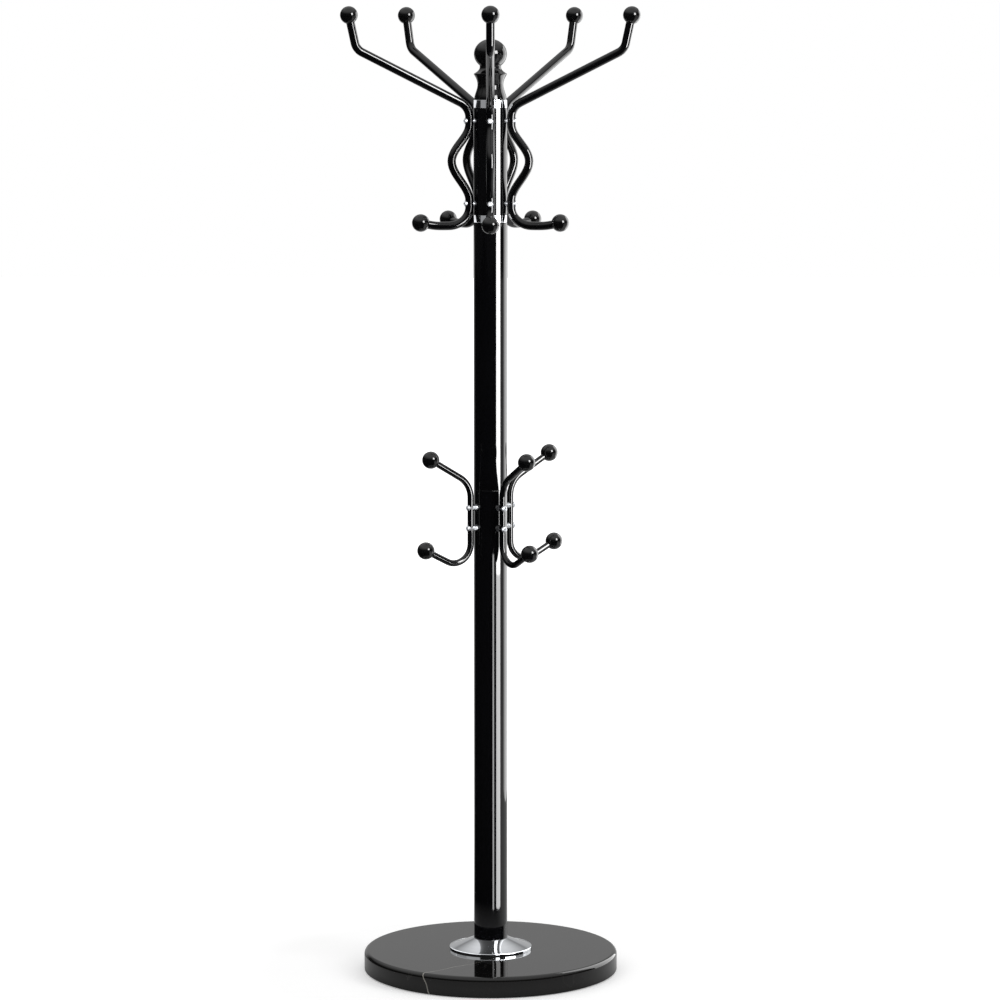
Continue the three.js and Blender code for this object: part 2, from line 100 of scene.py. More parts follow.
class Slot(Enum):
    """Material slots of the record."""

    ENAMEL = "black_enamel"
    RESIN = "black_resin"
    CHROME = "chrome"
    SCREW_CHROME = "screw_chrome"
    ZINC = "zinc_steel"
    MARBLE = "black_marble"
    FELT = "felt"


class SeenBy(Enum):
    """What a lamp is seen by: mirror-like surfaces, or the matt shading of everything."""

    GLOSS = "gloss"
    MATT = "matt"


class Group(Enum):
    """Groups of pieces that a lamp may be kept to."""

    POLE = "pole"
    RODS = "rods"
    RESIN = "resin"
    CHROMED = "chromed"
    FASTENERS = "fasteners"
    REST = "rest"


# ---- Colour and nodes ----


def linear(code: str) -> tuple[float, float, float, float]:
    """Turns an sRGB hex colour into the linear colour, with an alpha of one, that a shader takes."""
    shares = (int(code[i : i + 2], 16) / 255 for i in (1, 3, 5))
    return *(s / 12.92 if s <= 0.04045 else ((s + 0.055) / 1.055) ** 2.4 for s in shares), 1.0


def add_node(
    tree: Tree,
    kind: str,
    settings: dict[str | int, object] | None = None,
    links: dict[str | int, Source] | None = None,
) -> Node:
    """Adds a shader node with its settings and links.

    Args:
        tree: The node tree that the node goes into.
        kind: The node's type name, without ShaderNode in front.
        settings: Values by input socket name or number, or by the node's own attribute.
        links: What goes into each input: an output socket, or a node for its first output in use.

    Returns:
        The new node.
    """
    node = tree.nodes.new(f"ShaderNode{kind}")
    for key, value in (settings or {}).items():
        if isinstance(key, int) or key in node.inputs:
            node.inputs[key].default_value = value
        else:
            setattr(node, key, value)
    for key, source in (links or {}).items():
        if isinstance(source, Node):
            source = next(socket for socket in source.outputs if socket.enabled)
        tree.links.new(source, node.inputs[key])
    return node


def emptied(owner: bpy.types.Material | bpy.types.World) -> Tree:
    """Switches on the nodes of a material or a world, and clears them away.

    Args:
        owner: The material or the world.

    Returns:
        Its empty node tree.
    """
    owner.use_nodes = True
    owner.node_tree.nodes.clear()
    return owner.node_tree


# ---- Finishes ----


@dataclass(frozen=True)
class Finish:
    """A finish: what the material is, and how its surface was made.

    Attributes:
        title: The name of the material.
        slot: The record's slot that it stands for.
        colour: The main colour, as sRGB hex.
        shade: A second colour that drifts through the first, as sRGB hex.
        drift: Size of the patches of the second colour, in millimetres.
        smoothest: Roughness where the surface is best polished.
        roughest: Roughness where it is least polished.
        haze: Size of the patches of differing polish, in millimetres.
        relief: Height of the surface's small waves, in millimetres.
        ripple: Length of those waves, in millimetres.
        metallic: One for bare or plated metal.
        ior: Index of refraction.
    """

    title: str
    slot: Slot
    colour: str
    shade: str
    drift: float
    smoothest: float
    roughest: float
    haze: float
    relief: float
    ripple: float
    metallic: float = 0.0
    ior: float = 1.5

    def made(self) -> bpy.types.Material:
        """Builds the material, with its colour, polish and relief in place.

        Returns:
            The material.
        """
        material = bpy.data.materials.new(self.title)
        tree = emptied(material)
        place = self.place(tree)
        looks = {
            "Base Color": self.tone(tree, place),
            "Roughness": self.polish(tree, place),
            "Normal": self.waves(tree, place),
        }
        settings = {"Metallic": self.metallic, "IOR": self.ior, **self.extras()}
        shader = add_node(tree, "BsdfPrincipled", settings, looks)
        add_node(tree, "OutputMaterial", links={"Surface": shader})
        return material

    def extras(self) -> dict[str, object]:
        """Gives further shader settings that only some finishes have."""
        return {}

    def place(self, tree: Tree) -> Source:
        """Gives the coordinates that the patterns follow."""
        return add_node(tree, "TexCoord").outputs["Object"]

    def noise(self, tree: Tree, place: Source, cell: float, detail: float, **more: float) -> Node:
        """Fills space with a soft noise, whose cells measure this many millimetres."""
        settings = {"Scale": 1 / (cell * MM), "Detail": detail, **more}
        return add_node(tree, "TexNoise", settings, {"Vector": place})

    def tone(self, tree: Tree, place: Source) -> Node:
        """Mixes the two colours in soft patches."""
        settings = {"data_type": "RGBA", 6: linear(self.colour), 7: linear(self.shade)}
        return add_node(tree, "Mix", settings, {0: self.noise(tree, place, self.drift, 4.0)})

    def polish(self, tree: Tree, place: Source) -> Node:
        """Varies the roughness from patch to patch.

        Args:
            tree: The material's nodes.
            place: The coordinates.

        Returns:
            The roughness.
        """
        patches = self.noise(tree, place, self.haze, 5.0, Roughness=0.6)
        settings = {"From Min": 0.3, "From Max": 0.7, "To Min": self.smoothest, "To Max": self.roughest}
        return add_node(tree, "MapRange", settings, {"Value": patches})

    def waves(self, tree: Tree, place: Source) -> Node:
        """Gives the surface its small waves, as a bumped normal."""
        ripple = self.noise(tree, place, self.ripple, 2.0)
        return add_node(tree, "Bump", {"Strength": 1.0, "Distance": self.relief * MM}, {"Height": ripple})


@dataclass(frozen=True)
class TurnedMetal(Finish):
    """A metal polished as it turns, with fine marks that run round the rack's axis."""

    def place(self, tree: Tree) -> Node:
        """Gives distance from the axis and height, so that every mark runs round the axis.

        Args:
            tree: The material's nodes.

        Returns:
            The coordinates.
        """
        parts = add_node(tree, "SeparateXYZ", links={"Vector": super().place(tree)})
        flat = add_node(tree, "CombineXYZ", links={axis: parts.outputs[axis] for axis in "XY"})
        reach = add_node(tree, "VectorMath", {"operation": "LENGTH"}, {0: flat})
        return add_node(tree, "CombineXYZ", links={"X": reach, "Z": parts.outputs["Z"]})


@dataclass(frozen=True)
class WoolFelt(Finish):
    """Pressed wool, which scatters light softly from its loose surface fibres."""

    def extras(self) -> dict[str, object]:
        """Gives the pale sheen of fibres that stand up from the felt."""
        return {"Sheen Weight": 0.4, "Sheen Roughness": 0.6, "Sheen Tint": linear("#5a5a5e")}


@dataclass(frozen=True)
class VeinedMarble(Finish):
    """Black marble, sawn and polished, with one pale calcite vein and a few hairlines.

    Attributes:
        vein_colour: The vein's colour, as sRGB hex.
        vein_width: Width of the vein, in millimetres.
        vein_turn: Direction in which the vein crosses the top, in degrees from +X.
        vein_offset: Distance from the axis to the vein, in millimetres, to the right of that direction.
        vein_lean: How far the vein leans from upright, in degrees.
        wander: How far the vein strays from a straight line, in millimetres.
        wander_length: Length over which it strays, in millimetres.
        fade: Where along its run the vein is plain and where it is lost, in millimetres from the axis.
        hairline_strength: How plainly the hairlines show.
        hairline_cell: Distance between hairlines, in millimetres.
    """

    vein_colour: str = "#a8a59e"
    vein_width: float = 1.1
    vein_turn: float = 40.5
    vein_offset: float = 77.0
    vein_lean: float = 20.0
    wander: float = 26.0
    wander_length: float = 120.0
    fade: tuple[float, float] = (-210, 100)
    hairline_strength: float = 0.05
    hairline_cell: float = 150.0

    def vein(self, tree: Tree, place: Source) -> Node:
        """Cuts the stone with one wavering plane, which shows as a line on each face that it meets.

        Args:
            tree: The material's nodes.
            place: The coordinates.

        Returns:
            One on the vein and zero off it.
        """
        turn, lean = math.radians(self.vein_turn), math.radians(self.vein_lean)
        across = Vector((math.sin(turn) * math.cos(lean), -math.cos(turn) * math.cos(lean), math.sin(lean)))
        along = Vector((math.cos(turn), math.sin(turn), 0))
        distance, run = (
            add_node(tree, "VectorMath", {"operation": "DOT_PRODUCT", 1: way}, {0: place})
            for way in (across, along)
        )
        stray = self.noise(tree, place, self.wander_length, 4.0, Roughness=0.55)
        settings = {"operation": "MULTIPLY_ADD", 1: self.wander * MM, 2: -self.wander / 2 * MM}
        swing = add_node(tree, "Math", settings, {0: stray})
        bent = add_node(tree, "Math", {"operation": "ADD"}, {0: distance, 1: swing})
        settings = {"operation": "SUBTRACT", 1: self.vein_offset * MM}
        signed = add_node(tree, "Math", settings, {0: bent})
        off = add_node(tree, "Math", {"operation": "ABSOLUTE"}, {0: signed})
        edge = self.vein_width * MM
        settings = {"interpolation_type": "SMOOTHSTEP", "From Min": edge, "From Max": edge / 4}
        strength = add_node(tree, "MapRange", settings, {"Value": off})
        breaks = self.noise(tree, place, self.wander_length / 2, 3.0)
        gaps = {"From Min": 0.35, "From Max": 0.6, "To Min": 0.5}
        plain, lost = self.fade
        fading = {"From Min": plain * MM, "From Max": lost * MM, "To Min": 1.0, "To Max": 0.0}
        for source, settings in ((breaks, gaps), (run, fading)):
            share = add_node(tree, "MapRange", settings, {"Value": source})
            strength = add_node(tree, "Math", {"operation": "MULTIPLY"}, {0: strength, 1: share})
        return strength

    def hairlines(self, tree: Tree, place: Source) -> Node:
        """Draws faint hairlines where a slow noise crosses its middle value.

        Args:
            tree: The material's nodes.
            place: The coordinates.

        Returns:
            The strength of the hairlines, from zero up to their full strength.
        """
        slow = self.noise(tree, place, self.hairline_cell, 6.0, Roughness=0.5, Distortion=0.6)
        centred = add_node(tree, "Math", {"operation": "SUBTRACT", 1: 0.5}, {0: slow})
        size = add_node(tree, "Math", {"operation": "ABSOLUTE"}, {0: centred})
        settings = {"From Min": 0.004, "From Max": 0.0, "To Max": self.hairline_strength}
        return add_node(tree, "MapRange", settings, {"Value": size})

    def tone(self, tree: Tree, place: Source) -> Node:
        """Lays the hairlines and the vein over the clouded black of the stone.

        Args:
            tree: The material's nodes.
            place: The coordinates.

        Returns:
            The colour.
        """
        colour = super().tone(tree, place)
        for strength in (self.hairlines(tree, place), self.vein(tree, place)):
            settings = {"data_type": "RGBA", 7: linear(self.vein_colour)}
            colour = add_node(tree, "Mix", settings, {0: strength, 6: colour})
        return colour


# Stoving enamel on steel: deep black, mirror-like, with the faint orange peel that a sprayed coat keeps.
STOVED_ENAMEL = Finish(
    title="stoved black enamel", slot=Slot.ENAMEL, colour="#08080a", shade="#0d0d0f",
    drift=90, smoothest=0.025, roughest=0.06, haze=45, relief=0.004, ripple=4,
)

# Moulded phenolic resin, buffed: a little softer in its reflections than the enamel.
MOULDED_RESIN = Finish(
    title="moulded black resin", slot=Slot.RESIN, colour="#0a0a0b", shade="#101011",
    drift=30, smoothest=0.04, roughest=0.09, haze=12, relief=0.003, ripple=5, ior=1.54,
)

# Bright chromium plate over polished steel: a cool mirror with fine marks from the polishing wheel.
BRIGHT_CHROME = TurnedMetal(
    title="bright chromium plate", slot=Slot.CHROME, colour="#dcdee1", shade="#cfd2d6",
    drift=8, smoothest=0.03, roughest=0.08, haze=3, relief=0.0015, ripple=2.5, metallic=1.0,
)

# Chromium plate on small fasteners: as pale, with the satin bloom of barrel-finished parts.
FASTENER_CHROME = Finish(
    title="satin chromium plate", slot=Slot.SCREW_CHROME, colour="#dddfe2", shade="#c8cbd0",
    drift=5, smoothest=0.28, roughest=0.38, haze=3, relief=0.003, ripple=1.5, metallic=1.0,
)

# Zinc plate on cold-formed steel: pale, satin, with the mottle of the plating bath.
ZINC_PLATE = Finish(
    title="satin zinc plate", slot=Slot.ZINC, colour="#a6a9ad", shade="#b8b4a6",
    drift=14, smoothest=0.28, roughest=0.45, haze=6, relief=0.01, ripple=1.2, metallic=1.0,
)

# Black marble, ground and polished to a mirror: the calcite vein and a brown cloud lie in the stone.
POLISHED_MARBLE = VeinedMarble(
    title="polished black marble", slot=Slot.MARBLE, colour="#070707", shade="#121110",
    drift=80, smoothest=0.03, roughest=0.06, haze=70, relief=0.001, ripple=12, ior=1.49,
)

# Pressed wool felt: matt, with fibres about a tenth as thick as they are drawn here, so that they show.
PRESSED_FELT = WoolFelt(
    title="pressed wool felt", slot=Slot.FELT, colour="#262628", shade="#3a3a3d",
    drift=1.5, smoothest=0.95, roughest=1.0, haze=10, relief=0.25, ripple=0.8,
)


class Palette:
    """Every finish of the rack, each built once and handed out by its slot."""

    def __init__(self) -> None:
        """Builds the materials."""
        metals = (BRIGHT_CHROME, FASTENER_CHROME, ZINC_PLATE)
        finishes = (STOVED_ENAMEL, MOULDED_RESIN, *metals, POLISHED_MARBLE, PRESSED_FELT)
        self.materials = {finish.slot: finish.made() for finish in finishes}
        self.groups: dict[Group, list[Piece]] = {group: [] for group in Group}

    def dress(self, piece: Piece, slot: Slot, *nodes: str) -> None:
        """Gives a piece its finish, and its place in the frame.

        Args:
            piece: The finished piece, with its place in its mesh.
            slot: The finish that it takes.
            nodes: The CAD nodes that it stands for.
        """
        piece.data.materials.clear()
        piece.data.materials.append(self.materials[slot])
        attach(piece, ROOT)
        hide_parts(*nodes)
        groups = {
            Slot.ENAMEL: Group.RODS if piece.name.endswith("_rod") else Group.POLE,
            Slot.RESIN: Group.RESIN,
            Slot.CHROME: Group.CHROMED,
            Slot.SCREW_CHROME: Group.FASTENERS,
        }
        self.groups[groups.get(slot, Group.REST)].append(piece)
        LOG.info("%s stands for %s: %d faces", piece.name, ", ".join(nodes), len(piece.data.polygons))


# ---- The bench: modelling steps that every piece shares ----


def at(reach: float, height: float) -> Vector:
    """Gives a point of an outline or a centre line, as its reach from the axis and its height."""
    return Vector((reach, height))


def heading(degrees: float) -> Vector:
    """Gives the direction that rises this many degrees from level."""
    return at(math.cos(math.radians(degrees)), math.sin(math.radians(degrees)))


def upright(point: Vector) -> Vector:
    """Puts a point of reach and height in the plane of X and Z, in metres."""
    return Vector((point.x * MM, 0, point.y * MM))


def lifted(height: float) -> Matrix:
    """Gives a lift to a height in millimetres."""
    return Matrix.Translation((0, 0, height * MM))


def spun(degrees: float) -> Matrix:
    """Gives a turn about the rack's axis."""
    return Matrix.Rotation(math.radians(degrees), 4, "Z")


def swept(start: Vector, first: Vector, second: Vector, end: Vector, steps: int) -> list[Vector]:
    """Gives the points, after its start, of a curve that its two middle points pull into shape."""
    return [Vector(p[:2]) for p in interpolate_bezier(start, first, second, end, steps + 1)][1:]


def arc(centre: Vector, radii: Vector, start: float, end: float, steps: int) -> list[Vector]:
    """Gives the points of an arc with this half width and half height, in degrees up from level."""
    angles = (start + (end - start) * i / steps for i in range(steps + 1))
    return [centre + radii * heading(angle) for angle in angles]


def only(piece: Piece) -> None:
    """Selects one piece and nothing else, and makes it the active one.

    Args:
        piece: The piece.
    """
    bpy.ops.object.select_all(action="DESELECT")
    piece.select_set(True)
    bpy.context.view_layer.objects.active = piece


@contextmanager
def editing(piece: Piece, kind: str = "FACE") -> Iterator[None]:
    """Opens a piece in edit mode with nothing selected, and closes it again.

    Args:
        piece: The piece to edit.
        kind: VERT, EDGE or FACE, which is what gets selected.
    """
    only(piece)
    bpy.ops.object.mode_set(mode="EDIT")
    bpy.ops.mesh.select_mode(type=kind)
    bpy.ops.mesh.select_all(action="DESELECT")
    yield
    bpy.ops.object.mode_set(mode="OBJECT")


def pick(piece: Piece, test: Callable[[Vector, Vector], bool]) -> None:
    """Selects the faces whose centre and normal pass a test, in edit mode.

    Args:
        piece: The piece that is being edited.
        test: Takes a face's centre in millimetres and its normal.
    """
    shape = bmesh.from_edit_mesh(piece.data)
    for face in shape.faces:
        face.select_set(test(face.calc_center_median() / MM, face.normal))
    bmesh.update_edit_mesh(piece.data)


def pick_rim(piece: Piece, height: float) -> None:
    """Selects the edges that lie at one height, in edit mode.

    Args:
        piece: The piece that is being edited.
        height: The height, in millimetres.
    """
    shape = bmesh.from_edit_mesh(piece.data)
    for edge in shape.edges:
        edge.select_set(all(abs(v.co.z / MM - height) < 0.01 for v in edge.verts))
    bmesh.update_edit_mesh(piece.data)


def closed_up() -> None:
    """Merges the doubles of the piece that is being edited, and turns its faces outwards."""
    bpy.ops.mesh.select_all(action="SELECT")
    bpy.ops.mesh.remove_doubles(threshold=MERGED)
    bpy.ops.mesh.normals_make_consistent(inside=False)


def modified(piece: Piece, kind: str, **settings: object) -> Piece:
    """Puts a modifier on a piece and applies it.

    Args:
        piece: The piece.
        kind: The modifier's type name.
        settings: Its settings.

    Returns:
        The piece.
    """
    only(piece)
    bpy.ops.object.modifier_add(type=kind)
    modifier = piece.modifiers[-1]
    for key, value in settings.items():
        setattr(modifier, key, value)
    bpy.ops.object.modifier_apply(modifier=modifier.name)
    return piece


def combined(piece: Piece, tool: Piece, operation: str) -> Piece:
    """Cuts a piece with a tool, or joins the tool to it, and clears the tool away.

    Args:
        piece: The piece.
        tool: The solid that cuts it or joins it.
        operation: DIFFERENCE, INTERSECT or UNION.

    Returns:
        The piece.
    """
    modified(piece, "BOOLEAN", operation=operation, object=tool, solver="EXACT")
    bpy.data.objects.remove(tool)
    return piece


def eased(piece: Piece, width: float, segments: int = 3) -> Piece:
    """Rounds every sharp edge of a piece to a width in millimetres."""
    limits = {"limit_method": "ANGLE", "angle_limit": math.radians(40)}
    return modified(piece, "BEVEL", width=width * MM, segments=segments, **limits)


def shaded(piece: Piece, degrees: float = 35) -> Piece:
    """Shades a piece smooth, but for its sharper edges.

    Args:
        piece: The piece.
        degrees: Edges sharper than this stay crisp.

    Returns:
        The piece.
    """
    only(piece)
    bpy.ops.object.shade_smooth_by_angle(angle=math.radians(degrees))
    return piece


def smoothed(piece: Piece, degrees: float = 35) -> Piece:
    """Shades a piece smooth up to an angle, with its broad faces kept flat."""
    return modified(shaded(piece, degrees), "WEIGHTED_NORMAL", keep_sharp=True, weight=100)


def turned(name: str, outline: list[Vector], sides: int, closed: bool = True) -> Piece:
    """Turns an outline about the upright axis, as on a lathe.

    Args:
        name: The piece's name.
        outline: Points of reach and height, in millimetres.
        sides: How many facets the turned shape has round it.
        closed: Whether the outline runs back to its first point, which leaves a bore.

    Returns:
        The piece.
    """
    points = [*outline, outline[0]] if closed else outline
    bpy.ops.mesh.primitive_plane_add(size=MM)
    piece = bpy.context.active_object
    piece.name = name
    with editing(piece, "VERT"):
        bpy.ops.mesh.select_all(action="SELECT")
        bpy.ops.mesh.merge(type="CENTER")
        bpy.ops.transform.translate(value=upright(points[0]))
        for here, there in zip(points, points[1:]):
            step = (there - here) * MM
            bpy.ops.mesh.extrude_region_move(TRANSFORM_OT_translate={"value": (step.x, 0, step.y)})
        bpy.ops.mesh.select_all(action="SELECT")
        bpy.ops.mesh.remove_doubles(threshold=MERGED)
        bpy.ops.mesh.spin(steps=sides, angle=FULL_TURN, center=(0, 0, 0), axis=(0, 0, 1))
        closed_up()
    return piece


def sleeved(name: str, bore: float, radius: float, bottom: float, top: float, sides: int) -> Piece:
    """Turns a plain sleeve from its bore, outer radius, foot and top, all in millimetres."""
    outline = [at(bore, bottom), at(radius, bottom), at(radius, top), at(bore, top)]
    return turned(name, outline, sides)


def threaded(name: str, radius: float, bottom: float, top: float, pitch: float) -> Piece:
    """Turns a rod with grooves a pitch apart, which read as its thread.

    Args:
        name: The piece's name.
        radius: Radius over the crests, in millimetres.
        bottom: Height of its foot.
        top: Height of its top.
        pitch: Distance from groove to groove.

    Returns:
        The rod, upright on the axis.
    """
    root = radius - pitch * 0.35
    outline = [at(0, bottom), at(root, bottom)]
    for i in range(int((top - bottom) / pitch)):
        foot = bottom + i * pitch
        outline += [at(radius, foot + pitch * 0.4), at(radius, foot + pitch * 0.6), at(root, foot + pitch)]
    return turned(name, [*outline, at(root, top), at(0, top)], 48, closed=False)


def cylinder(name: str, radius: float, bottom: float, top: float, sides: int, ends: str = "NGON") -> Piece:
    """Adds an upright cylinder on the axis, with its place in its mesh.

    Args:
        name: The piece's name.
        radius: Its radius, in millimetres.
        bottom: Height of its foot.
        top: Height of its top.
        sides: How many facets it has round it.
        ends: NGON for closed ends, or NOTHING for open ones.

    Returns:
        The cylinder.
    """
    middle, depth = (0, 0, (bottom + top) / 2 * MM), (top - bottom) * MM
    bpy.ops.mesh.primitive_cylinder_add(
        vertices=sides, radius=radius * MM, depth=depth, end_fill_type=ends, location=middle
    )
    piece = bpy.context.active_object
    piece.name = name
    bpy.ops.object.transform_apply()
    return piece


def placed(piece: Piece, place: Matrix) -> Piece:
    """Moves or turns a piece, and puts its new place in its mesh.

    Args:
        piece: The piece.
        place: Where it goes.

    Returns:
        The piece.
    """
    only(piece)
    piece.matrix_world = place
    bpy.ops.object.transform_apply()
    return piece


def copied(piece: Piece, name: str, place: Matrix) -> Piece:
    """Copies a piece, mesh and all, to another place.

    Args:
        piece: The piece to copy.
        name: The copy's name.
        place: Where the copy goes.

    Returns:
        The copy.
    """
    only(piece)
    bpy.ops.object.duplicate()
    copy = bpy.context.active_object
    copy.name = name
    copy.data.name = name
    return placed(copy, place)


def lying(piece: Piece) -> Piece:
    """Lays an upright piece along X."""
    return placed(piece, Matrix.Rotation(math.pi / 2, 4, "Y"))


def drilled(piece: Piece, radius: float, start: float, end: float, place: Matrix) -> Piece:
    """Drills a hole that runs along X from one reach to another, and is then moved to its place."""
    return combined(piece, placed(lying(cylinder("drill", radius, start, end, 24)), place), "DIFFERENCE")


def extent(node: str) -> tuple[Vector, Vector]:
    """Gives a CAD node's lowest and highest corners, in millimetres."""
    low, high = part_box(node)
    return low / MM, high / MM


# ---- Base ----


@dataclass
class Base:
    """The felt, the marble disc, its bolt and washer, and the chrome flange.

    Attributes:
        top_edge: Radius of the marble's rounded top edge, in millimetres.
        bottom_edge: Radius of its bottom edge.
        hole: Radius of the bolt hole.
        recess: Radius of the recess for the bolt head.
        recess_depth: Depth of that recess.
        felt_edge: Rounding of the felt's edge.
        flange_lip: Height of the bead round the flange's outer edge.
        flange_rim: Height of the flange's upright rim.
        flange_collar: Width of the flat collar round the pole.
        flange_wall: Thickness of the flange.
        bolt_thread: Radius of the bolt's shank.
        bolt_head_height: Height of its head.
        soft_edge: Rounding of the edges of the flange and the washer.
        thread_pitch: Pitch of the bolt's thread.
        sides: How many facets the marble has round it.
    """

    top_edge: float = 8
    bottom_edge: float = 2
    hole: float = 6
    recess: float = 17
    recess_depth: float = 12
    felt_edge: float = 0.6
    flange_lip: float = 1.6
    flange_rim: float = 6
    flange_collar: float = 2.5
    flange_wall: float = 2.5
    bolt_thread: float = 5
    bolt_head_height: float = 7
    soft_edge: float = 0.35
    thread_pitch: float = 1.5
    sides: int = 192

    def felt(self) -> Piece:
        """Cuts the felt disc, with a soft edge.

        Returns:
            The felt.
        """
        low, high = extent("base_felt")
        disc = cylinder("felt_pad", high.x, low.z, high.z, self.sides)
        return smoothed(eased(disc, self.felt_edge))

    def stone(self) -> Piece:
        """Saws the disc, rounds its edges, sinks the recess and bores the bolt hole.

        Returns:
            The marble disc.
        """
        low, high = extent("marble_base")
        radius = high.x
        disc = cylinder("marble_disc", radius, low.z, high.z, self.sides)
        with editing(disc, "EDGE"):
            pick_rim(disc, high.z)
            bpy.ops.mesh.bevel(offset=self.top_edge * MM, segments=10, affect="EDGES")
            bpy.ops.mesh.select_all(action="DESELECT")
            pick_rim(disc, low.z)
            bpy.ops.mesh.bevel(offset=self.bottom_edge * MM, segments=4, affect="EDGES")
        with editing(disc):
            pick(disc, lambda centre, normal: normal.z < -0.99)
            bpy.ops.mesh.inset(thickness=(radius - self.bottom_edge - self.recess) * MM)
            rise = {"value": (0, 0, self.recess_depth * MM)}
            bpy.ops.mesh.extrude_region_move(TRANSFORM_OT_translate=rise)
            bpy.ops.mesh.inset(thickness=(self.recess - self.hole) * MM)
            bpy.ops.mesh.select_all(action="DESELECT")
            pick(disc, lambda centre, normal: normal.z > 0.9999 and centre.z > high.z - 0.1)
            bpy.ops.mesh.inset(thickness=(radius - self.top_edge - self.hole) * MM)
            pick(disc, lambda centre, normal: abs(normal.z) > 0.99 and centre.xy.length < self.hole / 2)
            bpy.ops.mesh.bridge_edge_loops()
            bpy.ops.mesh.select_all(action="SELECT")
            bpy.ops.mesh.normals_make_consistent(inside=False)
        return smoothed(disc)

    def flange(self) -> Piece:
        """Spins the flange: a low upright rim, a bead, a slightly dished cone and a collar at the pole.

        Returns:
            The flange.
        """
        low, high = extent("base_flange")
        outer, rim_top, top = high.x, low.z + self.flange_rim, high.z
        inner = extent("lower_tube")[1].x + CLEARANCE
        wall, lip = self.flange_wall, self.flange_lip
        cone_foot = at(outer - 2 * lip, rim_top - 0.5)
        cone_top = at(inner + self.flange_collar, top - 0.6)
        fall = (cone_foot - cone_top).normalized()
        outline = [
            at(outer - wall, low.z),
            at(outer, low.z),
            *arc(at(outer - lip, rim_top - lip), at(lip, lip), 0, 140, 10),
            *swept(cone_foot, cone_foot - fall * 12 + at(0, -0.8), cone_top + fall * 12, cone_top, 12),
            at(inner + wall / 2, top),
            at(inner, top),
            at(inner, top - 2 * wall),
            at(outer - wall, rim_top - wall - lip),
        ]
        return smoothed(eased(turned("flange_cover", outline, 128), self.soft_edge))

    def washer(self) -> Piece:
        """Punches the washer.

        Returns:
            The washer.
        """
        low, high = extent("base_washer")
        ring = sleeved("bolt_washer", self.bolt_thread + CLEARANCE, high.x, low.z, high.z, 64)
        return smoothed(eased(ring, self.soft_edge))

    def bolt(self) -> Piece:
        """Forges the hexagon head, chamfers its corners and joins it to the shank.

        Returns:
            The bolt.
        """
        low, high = extent("base_bolt")
        foot, top = low.z, low.z + self.bolt_head_height
        across = max(high.x, high.y)
        head = placed(cylinder("hexagon_bolt", across, foot, top, 6), spun(30))
        wide = across * 1.05
        outline = [at(0, foot), at(across * 0.86, foot), at(wide, foot + 2), at(wide, top), at(0, top)]
        combined(head, turned("chamfer", outline, 64, closed=False), "INTERSECT")
        middle = foot + self.bolt_head_height / 2
        shank = threaded("shank", self.bolt_thread, middle, high.z, self.thread_pitch)
        return smoothed(combined(head, shank, "UNION"))

    def build(self, palette: Palette) -> None:
        """Builds and dresses the base.

        Args:
            palette: The finishes.
        """
        palette.dress(self.felt(), Slot.FELT, "base_felt")
        palette.dress(self.stone(), Slot.MARBLE, "marble_base")
        palette.dress(self.washer(), Slot.ZINC, "base_washer")
        palette.dress(self.bolt(), Slot.ZINC, "base_bolt")
        palette.dress(self.flange(), Slot.CHROME, "base_flange")


# ---- Pole ----


